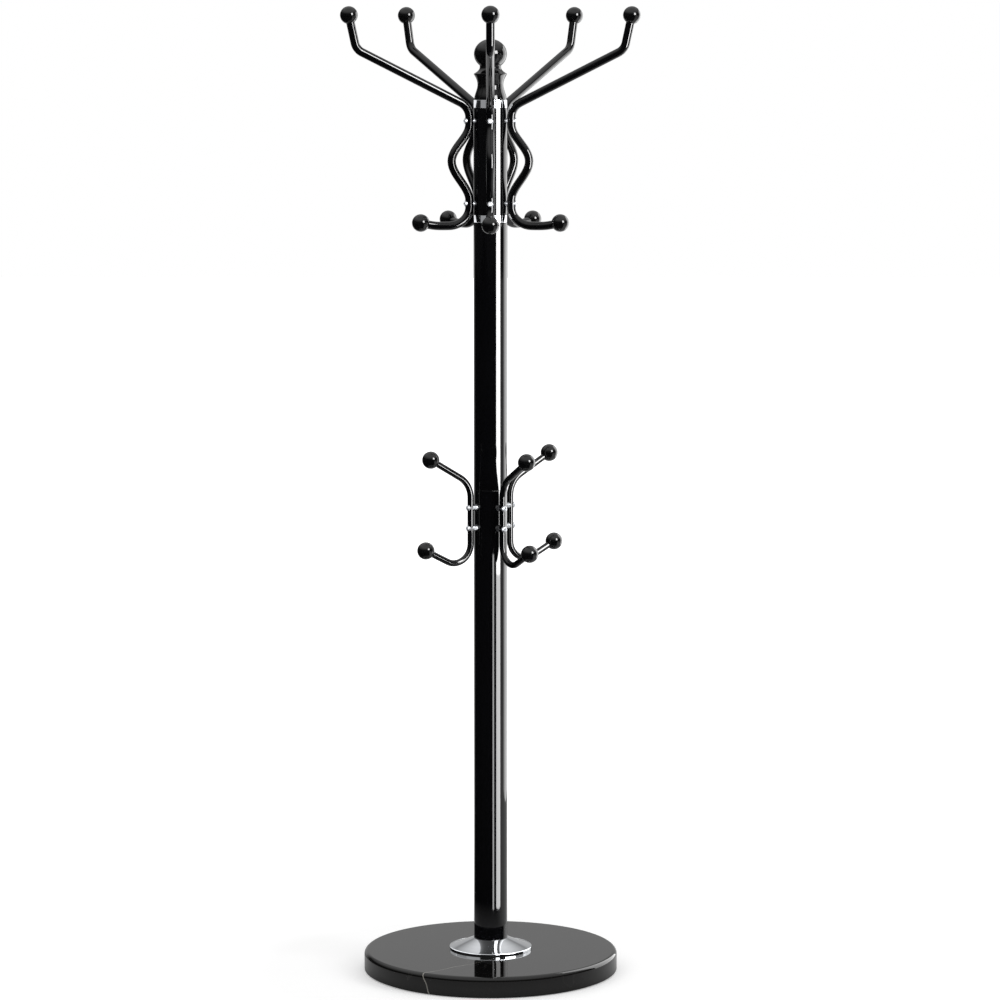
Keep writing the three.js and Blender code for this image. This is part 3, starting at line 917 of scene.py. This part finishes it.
@dataclass
class Pole:
    """The three enamelled sections, the two chrome rings and what joins them inside.

    Attributes:
        wall: Thickness of the tubes, in millimetres.
        edge: Rounding of the ends of each section, which draws a fine line at a seam.
        ring_edge: Rounding of the rings' edges.
        spigot_wall: Thickness of the spigots.
        thread: Radius of the bolt and the stud.
        hole: Radius of the holes for the hooks' screws.
        sides: How many facets the tubes have round them.
    """

    wall: float = 2
    edge: float = 0.5
    ring_edge: float = 0.6
    spigot_wall: float = 4
    thread: float = 5
    hole: float = 2.8
    sides: int = 144

    def sleeve(self, name: str, node: str, edge: float) -> Piece:
        """Draws a tube to the size of a CAD node.

        Args:
            name: The piece's name.
            node: The CAD node.
            edge: Rounding of its ends.

        Returns:
            The tube.
        """
        low, high = extent(node)
        pipe = cylinder(name, high.x, low.z, high.z, self.sides, ends="NOTHING")
        modified(pipe, "SOLIDIFY", thickness=self.wall * MM, offset=-1.0, use_even_offset=True)
        return eased(pipe, edge)

    def screw_holes(self, pipe: Piece, hooks: Hooks) -> None:
        """Drills a tube for its hooks' screws, between two cuts that keep its long faces straight.

        Args:
            pipe: The tube.
            hooks: The hooks that it carries.
        """
        reach = extent("head_tube")[1].x
        with editing(pipe, "EDGE"):
            for height in hooks.screw_heights:
                for margin in (-2 * self.hole, 2 * self.hole):
                    bpy.ops.mesh.select_all(action="SELECT")
                    bpy.ops.mesh.bisect(plane_co=(0, 0, (height + margin) * MM), plane_no=(0, 0, 1))
        for turn in hooks.turns:
            for height in hooks.screw_heights:
                place = lifted(height) @ spun(turn)
                drilled(pipe, self.hole, reach - 3 * self.wall, reach + self.wall, place)

    def plug(self, name: str, node: str, bore: float) -> Piece:
        """Turns a plug or a spigot to the size of its CAD node, with this bore in millimetres."""
        low, high = extent(node)
        return smoothed(eased(sleeved(name, bore, high.x, low.z, high.z, 96), 0.8))

    def build(self, palette: Palette, long_hooks: Hooks, double_hooks: Hooks) -> None:
        """Builds and dresses the pole.

        Args:
            palette: The finishes.
            long_hooks: The hooks on the head section.
            double_hooks: The hooks on the lower section.
        """
        for level, hooks in {"lower": double_hooks, "middle": None, "head": long_hooks}.items():
            pipe = self.sleeve(f"{level}_pole", f"{level}_tube", self.edge)
            if hooks:
                self.screw_holes(pipe, hooks)
            palette.dress(smoothed(pipe), Slot.ENAMEL, f"{level}_tube")
        for level in ("lower", "upper"):
            ring = self.sleeve(f"{level}_chrome_ring", f"{level}_trim_ring", self.ring_edge)
            palette.dress(smoothed(ring), Slot.CHROME, f"{level}_trim_ring")
        spigot_bore = extent("section_spigot")[1].x - self.spigot_wall
        thread_bore = self.thread + CLEARANCE
        plugs = {
            "foot_plug": ("threaded_foot", thread_bore),
            "section_spigot": ("seam_spigot", spigot_bore),
            "head_spigot": ("ring_spigot", spigot_bore),
            "head_plug": ("crown_plug", thread_bore),
        }
        for node, (name, bore) in plugs.items():
            palette.dress(self.plug(name, node, bore), Slot.ZINC, node)


# ---- Finial ----


@dataclass
class Finial:
    """The turned finial and the stud that holds it. Heights are above its seat.

    Attributes:
        foot: Radius of its foot, in millimetres.
        waist: Radius and height of the waist.
        rim: Radius and height of the sharp rim.
        rim_edge: Thickness of the rim's edge.
        neck: Radius and height of the neck under the ball.
        ball_height: Height of the ball's centre.
        ball: Half width and half height of the ball.
        bore_top: Height of the end of the stud's bore.
        stud: Radius of the stud.
        pitch: Pitch of the stud's thread.
    """

    foot: float = 28.8
    waist: Vector = at(22.9, 26.5).freeze()
    rim: Vector = at(29.3, 44.5).freeze()
    rim_edge: float = 1.5
    neck: Vector = at(18.9, 57.5).freeze()
    ball_height: float = 80.5
    ball: Vector = at(29.2, 26.5).freeze()
    bore_top: float = 26
    stud: float = 5
    pitch: float = 1.5

    def body(self) -> Piece:
        """Turns the finial, from the stud's bore round its outside to the top of the ball.

        Returns:
            The finial.
        """
        rim_top = self.rim + at(0, self.rim_edge)
        foot, bore = at(self.foot, 0), self.stud + CLEARANCE
        low_handle, waist_handle = at(self.foot, self.waist.y / 3), at(self.waist.x, self.waist.y * 2 / 3)
        flare = at(self.waist.x, (self.waist.y + self.rim.y) / 2)
        cove = at(self.neck.x, (rim_top.y + self.neck.y) / 2)
        neck_angle = math.degrees(math.acos(self.neck.x / self.ball.x))
        outline = [
            at(0, self.bore_top),
            at(bore, self.bore_top),
            at(bore, 0),
            foot,
            *swept(foot, low_handle, waist_handle, self.waist, 14),
            *swept(self.waist, self.waist.lerp(flare, 2 / 3), self.rim.lerp(flare, 2 / 3), self.rim, 12),
            rim_top,
            *swept(rim_top, rim_top.lerp(cove, 2 / 3), self.neck.lerp(cove, 2 / 3), self.neck, 12)[:-1],
            *arc(at(0, self.ball_height), self.ball, -neck_angle, 90, 32)[:-1],
            at(0, self.ball_height + self.ball.y),
        ]
        seat = at(0, extent("finial")[0].z)
        body = turned("turned_finial", [point + seat for point in outline], 96, closed=False)
        return smoothed(eased(body, 0.4))

    def build(self, palette: Palette) -> None:
        """Builds and dresses the finial and its stud.

        Args:
            palette: The finishes.
        """
        low, high = extent("finial_stud")
        stud = threaded("threaded_stud", self.stud, low.z, high.z, self.pitch)
        palette.dress(smoothed(stud), Slot.ZINC, "finial_stud")
        palette.dress(self.body(), Slot.RESIN, "finial")


# ---- Hooks ----


@dataclass
class Knot:
    """A point of a rod's centre line, with the handles that draw the line before it and after it."""

    point: Vector
    before: Vector
    after: Vector


class RodLine:
    """A rod's centre line, laid run by run in reach and height."""

    def __init__(self, start: Vector) -> None:
        """Starts the line at a point."""
        self.knots = [Knot(start, start, start)]

    @property
    def end(self) -> Vector:
        """Where the line has got to."""
        return self.knots[-1].point

    def curve(self, first: Vector, second: Vector, to: Vector) -> RodLine:
        """Adds a curve that leaves towards one handle and arrives from another.

        Args:
            first: The handle that it leaves towards.
            second: The handle that it arrives from.
            to: Where it ends.

        Returns:
            The line.
        """
        self.knots[-1].after = first
        self.knots.append(Knot(to, second, to))
        return self

    def straight(self, to: Vector) -> RodLine:
        """Adds a straight run."""
        return self.curve(self.end.lerp(to, 1 / 3), self.end.lerp(to, 2 / 3), to)

    def bend(self, corner: Vector, after: Vector, radius: float) -> RodLine:
        """Adds a straight run towards a corner, and a bend round it.

        Args:
            corner: Where the straight runs would meet.
            after: A point that the run after the bend aims at.
            radius: Radius of the bend, in millimetres.

        Returns:
            The line.
        """
        entering, leaving = (corner - self.end).normalized(), (after - corner).normalized()
        turn = entering.angle(leaving)
        tangent, handle = radius * math.tan(turn / 2), 4 / 3 * radius * math.tan(turn / 4)
        into, out = corner - entering * tangent, corner + leaving * tangent
        return self.straight(into).curve(into + entering * handle, out - leaving * handle, out)


@dataclass
class HookShape:
    """One bent rod: its line, the places of its balls and the way the rod points into each."""

    line: RodLine
    balls: dict[str, Vector]
    headings: dict[str, Vector]


@dataclass
class Hooks:
    """A set of equal hooks round the pole, with their balls, screws and spacers.

    Attributes:
        node: Name of their CAD nodes, without a number.
        count: How many there are.
        first_turn: Direction of the first, in degrees from +X.
        turn_step: Degrees from one to the next.
        rod: Radius of the rod, in millimetres.
        spacer: Radius of the spacers.
        spacer_length: Distance that they keep between pole and rod.
        ball: Radius of the balls.
        socket: How deep the rod goes into a ball.
        shank: Radius of the screws' shanks.
        screw_in: How far the screws reach inside the tube's wall.
        head: Radius of the screws' heads.
        head_edge: Height of the heads' upright edge.
        head_height: Height of the heads.
        key: Width of the hexagon socket in each head, across its corners.
        key_depth: Depth of that socket.
        pitch: Pitch of the screws' threads.
        rod_sides: How many facets the rods have round them.
    """

    node: str
    count: int
    first_turn: float
    turn_step: float
    rod: float
    spacer: float
    spacer_length: float
    ball: float = 15.55
    socket: float = 7
    shank: float = 2.5
    screw_in: float = 6
    head: float = 5.25
    head_edge: float = 0.8
    head_height: float = 3
    key: float = 3.4
    key_depth: float = 1.6
    pitch: float = 0.8
    rod_sides: int = 48

    @property
    def turns(self) -> list[float]:
        """Directions of the hooks, in degrees from +X."""
        return [self.first_turn + i * self.turn_step for i in range(self.count)]

    @property
    def pole(self) -> float:
        """Radius of the pole."""
        return extent("head_tube")[1].x

    @property
    def seat(self) -> float:
        """Reach of the rod's centre line where it is screwed to the pole."""
        return self.pole + self.spacer_length + self.rod

    @property
    def out_to_rod(self) -> Matrix:
        """Moves a piece from the axis out to the rod."""
        return Matrix.Translation((self.seat * MM, 0, 0))

    @property
    def screw_heights(self) -> list[float]:
        """Heights of the top and the low screw."""
        ends = (extent(f"{self.node}_1_{end}_screw") for end in ("top", "low"))
        return [(low.z + high.z) / 2 for low, high in ends]

    def shape(self) -> HookShape:
        """Lays out the hook in the plane of reach and height."""
        raise NotImplementedError

    def bar(self, line: RodLine) -> Piece:
        """Bends the bar along its line, in the plane of X and Z, and drills it for its two screws.

        Args:
            line: The centre line, in millimetres.

        Returns:
            The rod.
        """
        bpy.ops.object.select_all(action="DESELECT")
        bpy.ops.curve.primitive_bezier_curve_add()
        rod = bpy.context.active_object
        rod.name = f"{self.node}_bar"
        spline = rod.data.splines[0]
        spline.bezier_points.add(len(line.knots) - len(spline.bezier_points))
        for point, knot in zip(spline.bezier_points, line.knots):
            point.handle_left_type = point.handle_right_type = "FREE"
            point.co = upright(knot.point)
            point.handle_left = upright(knot.before)
            point.handle_right = upright(knot.after)
        rod.data.dimensions = "3D"
        rod.data.resolution_u = 14
        rod.data.bevel_depth = self.rod * MM
        rod.data.bevel_resolution = self.rod_sides // 2 - 2
        rod.data.use_fill_caps = True
        only(rod)
        bpy.ops.object.convert(target="MESH")
        rod = bpy.context.active_object
        with editing(rod):
            closed_up()
        for height in self.screw_heights:
            near, far = self.seat - 2 * self.rod, self.seat + 2 * self.rod
            drilled(rod, self.shank + CLEARANCE, near, far, lifted(height))
        return shaded(rod)

    def knob(self) -> Piece:
        """Turns a ball round the origin, with a socket for the rod in its foot.

        Returns:
            The ball.
        """
        socket, lip = self.rod + CLEARANCE, 0.5
        mouth = math.degrees(math.asin((socket + lip) / self.ball))
        roof = self.socket + CLEARANCE - self.ball
        outline = arc(at(0, 0), at(self.ball, self.ball), 90, mouth - 90, 36)
        outline[0] = at(0, self.ball)
        floor = outline[-1].y
        outline += [at(socket, floor + lip), at(socket, roof), at(0, roof)]
        return shaded(turned(f"{self.node}_knob", outline, 64, closed=False))

    def saddled(self, piece: Piece) -> Piece:
        """Hollows a piece that lies along X to fit the rod that it lies against."""
        rod = placed(cylinder("rod_form", self.rod, -3 * self.rod, 3 * self.rod, 96), self.out_to_rod)
        return combined(piece, rod, "DIFFERENCE")

    def screw(self) -> Piece:
        """Makes a button-head screw whose head fits the rod, lying along X.

        Returns:
            The screw.
        """
        outside = self.seat + self.rod
        edge, top = outside + self.head_edge, outside + self.head_height
        start = at(self.head, edge)
        outline = [
            at(0, self.seat),
            at(self.head, self.seat),
            start,
            *swept(start, at(self.head, edge + 1.1), at(self.head * 0.62, top), at(self.head * 0.42, top), 8),
            at(0, top),
        ]
        head = self.saddled(lying(eased(turned("button_head", outline, 48, closed=False), 0.2)))
        tip = self.pole - self.screw_in - 2
        combined(head, lying(threaded("screw_thread", self.shank, tip, edge, self.pitch)), "UNION")
        key = lying(cylinder("key", self.key / 2, top - self.key_depth, top + 1, 6))
        return smoothed(combined(head, key, "DIFFERENCE"), 30)

    def collar(self) -> Piece:
        """Makes the spacer that keeps the rod off the pole, saddled to both, lying along X.

        Returns:
            The spacer.
        """
        sleeve = sleeved("sleeve", self.shank + CLEARANCE, self.spacer, self.pole - 2, self.seat, 64)
        self.saddled(lying(sleeve))
        pole = cylinder("pole_form", self.pole, -3 * self.rod, 3 * self.rod, 288)
        return smoothed(combined(sleeve, pole, "DIFFERENCE"), 30)

    def build(self, palette: Palette) -> None:
        """Builds one hook, and copies it to every place round the pole.

        Args:
            palette: The finishes.
        """
        shape = self.shape()
        masters = self.bar(shape.line), self.knob(), self.screw(), self.collar()
        bar, knob, screw, collar = masters
        for number, degrees in enumerate(self.turns, start=1):
            turn, name = spun(degrees), f"{self.node}_{number}"
            palette.dress(copied(bar, f"{name}_rod", turn), Slot.ENAMEL, name)
            for end, height in zip(("top", "low"), self.screw_heights):
                into, node = shape.headings[end], f"{name}_{end}"
                tilt = Matrix.Rotation(math.atan2(into.x, into.y), 4, "Y")
                place = turn @ Matrix.Translation(upright(shape.balls[end])) @ tilt
                palette.dress(copied(knob, f"{node}_knob", place), Slot.RESIN, f"{node}_ball")
                level = turn @ lifted(height)
                for master, kind in ((screw, "button_screw"), (collar, "spacer")):
                    piece = copied(master, f"{node}_{kind}", level)
                    palette.dress(piece, Slot.SCREW_CHROME, f"{node}_screw")
        for master in masters:
            bpy.data.objects.remove(master)


@dataclass
class LongHooks(Hooks):
    """The five long hooks round the head.

    Attributes:
        shoulder_bend: Radius of the bend where the arm leaves the pole, in millimetres.
        arm: Length of the arm from shoulder corner to elbow corner.
        arm_slope: How steeply the arm rises, in degrees.
        elbow_bend: Radius of the bend at the elbow.
        tip: Length from the elbow corner to the ball's centre.
        tip_lean: How far the tip leans outwards from upright, in degrees.
        bulge: How far the rod bulges off the pole below the top screw.
        bulge_drop: How far the bulge lies below the top screw.
        flank: Length of the handles that shape the bulge.
        curl: Reach and drop of the quarter curl below the low screw.
        low_ball: Reach of the low ball from the seat, and its height above the curl's lowest point.
    """

    node: str = "long_hook"
    count: int = 5
    first_turn: float = -90
    turn_step: float = 72
    rod: float = 7.5
    spacer: float = 5
    spacer_length: float = 1.5
    shoulder_bend: float = 30
    arm: float = 231.2
    arm_slope: float = 26.1
    elbow_bend: float = 24
    tip: float = 61
    tip_lean: float = 12.5
    bulge: float = 33
    bulge_drop: float = 71
    flank: float = 24
    curl: Vector = at(38, 39).freeze()
    low_ball: Vector = at(90.5, 6).freeze()

    def shape(self) -> HookShape:
        """Lays out the hook from its top ball to its low ball.

        Returns:
            The hook's line, balls and headings.
        """
        seat = self.seat
        top_screw, low_screw = self.screw_heights
        beside_screw = self.head + CLEARANCE
        short = self.ball - self.socket
        shoulder_turn = math.radians(90 - self.arm_slope)
        setback = self.shoulder_bend * math.tan(shoulder_turn / 2)
        shoulder = at(seat, top_screw + beside_screw + setback)
        elbow = shoulder + heading(self.arm_slope) * self.arm
        top_heading = heading(90 - self.tip_lean)
        top_ball = elbow + top_heading * self.tip
        flank_top, flank_foot = at(seat, top_screw - beside_screw), at(seat, low_screw + beside_screw)
        bulge = at(seat + self.bulge, top_screw - self.bulge_drop)
        handle = at(0, self.flank)
        curl_top = at(seat, low_screw - beside_screw)
        curl_bottom = at(seat + self.curl.x, low_screw - self.curl.y)
        quarter = 4 / 3 * math.tan(math.pi / 8)
        fall, floor = at(0, quarter * (curl_top.y - curl_bottom.y)), at(quarter * self.curl.x, 0)
        low_ball = at(seat + self.low_ball.x, curl_bottom.y + self.low_ball.y)
        last = at((curl_bottom.x + low_ball.x) / 2, curl_bottom.y)
        low_heading = (low_ball - last).normalized()
        line = RodLine(top_ball - top_heading * short)
        line.bend(elbow, shoulder, self.elbow_bend).bend(shoulder, flank_top, self.shoulder_bend)
        line.straight(flank_top)
        line.curve(flank_top - handle, bulge + handle, bulge)
        line.curve(bulge - handle, flank_foot + handle, flank_foot)
        line.straight(curl_top)
        line.curve(curl_top - fall, curl_bottom - floor, curl_bottom)
        line.curve(curl_bottom + floor, last, low_ball - low_heading * short)
        return HookShape(line, {"top": top_ball, "low": low_ball}, {"top": top_heading, "low": low_heading})


@dataclass
class DoubleHooks(Hooks):
    """The three double hooks at mid height.

    Attributes:
        top_straight: Straight run above the top screw, in millimetres.
        top_bend: Radius of the bend above it.
        top_arm: Length from that bend's corner to the top ball's centre.
        top_slope: How steeply the top arm rises, in degrees.
        low_straight: Straight run below the low screw.
        low_bend: Radius of the bend below it.
        low_arm: Length from that bend's corner to the low ball's centre.
        low_slope: How steeply the low arm rises, in degrees.
    """

    node: str = "double_hook"
    count: int = 3
    first_turn: float = -149
    turn_step: float = 90
    rod: float = 5.75
    spacer: float = 5.75
    spacer_length: float = 5.75
    top_straight: float = 17.9
    top_bend: float = 43
    top_arm: float = 94.7
    top_slope: float = 30
    low_straight: float = 27.75
    low_bend: float = 33
    low_arm: float = 103.8
    low_slope: float = 27

    def shape(self) -> HookShape:
        """Lays out the hook from its top ball to its low ball.

        Returns:
            The hook's line, balls and headings.
        """
        top_screw, low_screw = self.screw_heights
        top_turn, low_turn = math.radians(90 - self.top_slope), math.radians(90 + self.low_slope)
        top_corner = at(self.seat, top_screw + self.top_straight + self.top_bend * math.tan(top_turn / 2))
        low_corner = at(self.seat, low_screw - self.low_straight - self.low_bend * math.tan(low_turn / 2))
        headings = {"top": heading(self.top_slope), "low": heading(self.low_slope)}
        balls = {
            "top": top_corner + headings["top"] * self.top_arm,
            "low": low_corner + headings["low"] * self.low_arm,
        }
        short = self.ball - self.socket
        ends = {end: balls[end] - headings[end] * short for end in balls}
        line = RodLine(ends["top"])
        line.bend(top_corner, low_corner, self.top_bend).bend(low_corner, ends["low"], self.low_bend)
        line.straight(ends["low"])
        return HookShape(line, balls, headings)


# ---- Studio ----


@dataclass(frozen=True)
class Lamp:
    """An upright soft panel that faces the pole.

    Attributes:
        name: Its name.
        turn: Its direction from the pole, in degrees to the right of the front.
        distance: Its distance from the pole, in metres.
        width: Its width, in metres.
        foot: Height of its lower edge, in metres.
        top: Height of its upper edge, in metres.
        brightness: Its radiance, where one is white.
        seen_by: What sees it.
        only: The groups of pieces that it lights, or nothing for all of them.
    """

    name: str
    turn: float
    distance: float
    width: float
    foot: float
    top: float
    brightness: float
    seen_by: SeenBy
    only: tuple[Group, ...] = ()

    def hang(self, palette: Palette) -> None:
        """Hangs the panel in its place.

        Args:
            palette: The finishes, which know the groups of pieces.
        """
        light = bpy.data.lights.new(self.name, "AREA")
        light.shape = "RECTANGLE"
        light.size, light.size_y = self.width, self.top - self.foot
        light.energy = self.brightness * math.pi * light.size * light.size_y
        panel = bpy.data.objects.new(self.name, light)
        bpy.context.scene.collection.objects.link(panel)
        turn = math.radians(self.turn)
        across, back = math.sin(turn), math.cos(turn)
        panel.location = (self.distance * across, -self.distance * back, (self.foot + self.top) / 2)
        panel.rotation_euler = (math.pi / 2, 0, turn)
        panel.visible_glossy = self.seen_by is SeenBy.GLOSS
        panel.visible_diffuse = self.seen_by is SeenBy.MATT
        panel.visible_camera = panel.visible_transmission = False
        if self.only:
            lit = bpy.data.collections.new(f"{self.name} lights")
            for piece in (piece for group in self.only for piece in palette.groups[group]):
                lit.objects.link(piece)
            panel.light_linking.receiver_collection = lit


@dataclass
class Studio:
    """A white studio: pale floor, white backdrop behind the rack and soft panels round it.

    Attributes:
        floor_size: Width of the floor, in metres.
        floor_colour: Its colour, as sRGB hex.
        floor_lift: Light added to the floor at the rack as the camera sees it, which takes it up to white.
        lift_reach: Between which distances from the rack that light grows to full white, in metres.
        pool: Between which distances from the rack the pale pool round its base fades, in metres: there the
            painted shade that mirror-like surfaces see on the floor is weaker, a painted pale patch.
        sweep_edge: Over what width the floor's pale sweep, behind and to the right, fades in, in metres. In
            front and to the left, mirror-like surfaces see the floor painted near black, a painted shade.
        gloom: Brightness of the unlit side of the room.
        backdrop: Brightness of the backdrop behind the rack, just above the floor.
        ceiling: Brightness of the ceiling.
        camera_distance: Distance of the camera in front of the pole, in metres.
        camera_height: Its height.
        aim_right: How far to the right of the pole it aims, in metres.
        margins: Share of the picture left above and below the rack.
    """

    floor_size: float = 40
    floor_colour: str = "#e6e6e6"
    floor_lift: float = 0.35
    lift_reach: tuple[float, float] = (0.4, 1.4)
    pool: tuple[float, float] = (0.3, 0.6)
    sweep_edge: float = 0.5
    gloom: float = 0.03
    backdrop: float = 0.5
    ceiling: float = 0.9
    camera_distance: float = 7.09
    camera_height: float = 1.7
    aim_right: float = 0.017
    margins: tuple[float, float] = (0.0055, 0.002)
    lamps: tuple[Lamp, ...] = (
        Lamp("strip_high", 54, 0.5, 0.268, 0.66, 2.4, 27, SeenBy.GLOSS, (Group.POLE, Group.CHROMED)),
        Lamp("strip_low", 54, 0.5, 0.268, 0.01, 0.66, 13, SeenBy.GLOSS, (Group.POLE, Group.CHROMED)),
        Lamp("slim_panel", 18.5, 0.5, 0.085, 0.01, 0.7, 8, SeenBy.GLOSS, (Group.POLE, Group.CHROMED)),
        Lamp("rod_strip", 50, 3.0, 0.9, 0.0, 3.6, 28, SeenBy.GLOSS, (Group.RODS,)),
        Lamp("side_panel", 126.5, 1.6, 1.4, 0.0, 2.4, 3, SeenBy.GLOSS),
        Lamp("window", 42, 4.0, 1.5, 1.9, 3.7, 18, SeenBy.GLOSS, (Group.RESIN, Group.FASTENERS)),
        Lamp("low_left_card", -70, 0.9, 1.6, 0.15, 0.9, 1.0, SeenBy.GLOSS, (Group.CHROMED,)),
        Lamp("low_right_card", 85, 0.9, 1.0, 0.15, 0.9, 1.0, SeenBy.GLOSS, (Group.CHROMED,)),
        Lamp("left_card", -50, 1.0, 0.7, 0.0, 2.2, 0.35, SeenBy.GLOSS, (Group.CHROMED, Group.FASTENERS)),
        Lamp("rear_card", -130, 1.0, 0.8, 0.0, 2.2, 1.2, SeenBy.GLOSS, (Group.CHROMED, Group.FASTENERS)),
        Lamp("front_card", 0, 2.0, 3.4, 0.2, 2.4, 2.3, SeenBy.GLOSS, (Group.FASTENERS,)),
        Lamp("key", 60, 3.0, 1.2, 0.9, 2.6, 5.0, SeenBy.MATT),
        Lamp("fill", -40, 3.5, 2.0, 0.8, 3.2, 0.8, SeenBy.MATT),
        Lamp("back_fill", 170, 3.0, 2.0, 0.8, 3.2, 1.0, SeenBy.MATT),
    )

    def floor(self) -> None:
        """Lays the floor, which keeps the rack's shadow and is white to the camera. To mirror-like surfaces
        its front and left are painted near black, a painted shade, weaker round the base.
        """
        bpy.ops.object.select_all(action="DESELECT")
        bpy.ops.mesh.primitive_plane_add(size=self.floor_size)
        floor = bpy.context.active_object
        floor.name = "studio_floor"
        material = bpy.data.materials.new("painted studio floor")
        tree = emptied(material)
        place = add_node(tree, "TexCoord").outputs["Object"]
        parts = add_node(tree, "SeparateXYZ", links={"Vector": place})
        path = add_node(tree, "LightPath")
        sides = {0: parts.outputs["X"], 1: parts.outputs["Y"]}
        right_and_back = add_node(tree, "Math", {"operation": "ADD"}, sides)
        settings = {"From Min": 0.0, "From Max": self.sweep_edge}
        sweep = add_node(tree, "MapRange", settings, {"Value": right_and_back})
        front = add_node(tree, "Math", {"operation": "SUBTRACT", 0: 1.0}, {1: sweep})
        glossy_ray, camera_ray = path.outputs["Is Glossy Ray"], path.outputs["Is Camera Ray"]
        # Painted shade: glossy rays see the floor in front and to the left darkened towards near black, which
        # the pole, rods and chrome reflect.
        unlit = add_node(tree, "Math", {"operation": "MULTIPLY"}, {0: front, 1: glossy_ray})
        reach = add_node(tree, "VectorMath", {"operation": "LENGTH"}, {0: place})
        # Painted pale patch: close round the base the painted shade is weakened.
        near, far = self.pool
        settings = {"From Min": near, "From Max": far, "To Min": 0.35}
        outside = add_node(tree, "MapRange", settings, {"Value": reach})
        dark = add_node(tree, "Math", {"operation": "MULTIPLY"}, {0: unlit, 1: outside})
        # The painted shade's near-black colour, mixed over the floor's own colour where glossy rays see it.
        settings = {"data_type": "RGBA", 6: linear(self.floor_colour), 7: linear("#101010")}
        floor_with_painted_shade = add_node(tree, "BsdfDiffuse", links={"Color": add_node(tree, "Mix", settings, {0: dark})})
        near, far = self.lift_reach
        settings = {"From Min": near, "From Max": far, "To Min": self.floor_lift, "To Max": 1.0}
        rise = add_node(tree, "MapRange", settings, {"Value": reach})
        lift = add_node(tree, "Math", {"operation": "MULTIPLY"}, {0: camera_ray, 1: rise})
        glow = add_node(tree, "Emission", links={"Strength": lift})
        both = add_node(tree, "AddShader", links={0: floor_with_painted_shade, 1: glow})
        add_node(tree, "OutputMaterial", links={"Surface": both})
        floor.data.materials.append(material)
        floor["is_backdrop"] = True

    def room(self) -> None:
        """Surrounds the rack with the room: dark in front, white behind and pale above."""
        world = bpy.data.worlds.new("studio room")
        bpy.context.scene.world = world
        tree = emptied(world)
        direction = add_node(tree, "TexCoord").outputs["Generated"]
        parts = add_node(tree, "SeparateXYZ", links={"Vector": direction})
        settings = {"From Min": 0.82, "From Max": 0.93, "To Min": self.gloom, "To Max": self.backdrop}
        behind = add_node(tree, "MapRange", settings, {"Value": parts.outputs["Y"]})
        settings = {"From Min": 0.25, "From Max": 0.75, "To Max": self.ceiling}
        above = add_node(tree, "MapRange", settings, {"Value": parts.outputs["Z"]})
        room = add_node(tree, "Math", {"operation": "MAXIMUM"}, {0: behind, 1: above})
        camera_ray = add_node(tree, "LightPath").outputs["Is Camera Ray"]
        seen = add_node(tree, "Math", {"operation": "MAXIMUM"}, {0: room, 1: camera_ray})
        backing = add_node(tree, "Background", {"Color": (1.0, 1.0, 1.0, 1.0)}, {"Strength": seen})
        add_node(tree, "OutputWorld", links={"Surface": backing})

    def camera(self) -> None:
        """Sets the camera in front of the rack, so that the rack fills the picture's height."""
        low, high = (Vector(corner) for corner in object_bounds())
        nearest = self.camera_distance + low.y
        top_angle = math.atan2(high.z - self.camera_height, nearest)
        foot = extent("marble_base")[0] * MM
        low_angle = math.atan2(foot.z - self.camera_height, self.camera_distance + foot.y)
        above, below = (0.5 - margin for margin in self.margins)
        tilt = low_angle + (top_angle - low_angle) * below / (above + below)
        data = bpy.data.cameras.new("camera")
        data.sensor_width = 36
        data.lens = data.sensor_width * below / math.tan(tilt - low_angle)
        camera = bpy.data.objects.new("camera", data)
        bpy.context.scene.collection.objects.link(camera)
        camera.location = (0, -self.camera_distance, self.camera_height)
        pan = math.atan2(self.aim_right, self.camera_distance)
        camera.rotation_euler = (math.pi / 2 + tilt, 0, -pan)
        bpy.context.scene.camera = camera

    def build(self, palette: Palette) -> None:
        """Sets up the whole studio.

        Args:
            palette: The finishes, which know the groups of pieces.
        """
        self.floor()
        self.room()
        for lamp in self.lamps:
            lamp.hang(palette)
        self.camera()
        bpy.context.scene.view_settings.view_transform = "Standard"


# ---- The rack ----


def main() -> None:
    """Loads the frame, builds every piece around it, and sets up the studio."""
    logging.basicConfig(level=logging.INFO, format="%(name)s: %(message)s")
    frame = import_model()
    LOG.info("the frame holds %d nodes", len(frame["nodes"]))
    palette = Palette()
    long_hooks, double_hooks = LongHooks(), DoubleHooks()
    Base().build(palette)
    Pole().build(palette, long_hooks, double_hooks)
    Finial().build(palette)
    long_hooks.build(palette)
    double_hooks.build(palette)
    Studio().build(palette)


if __name__ == "__main__":
    main()
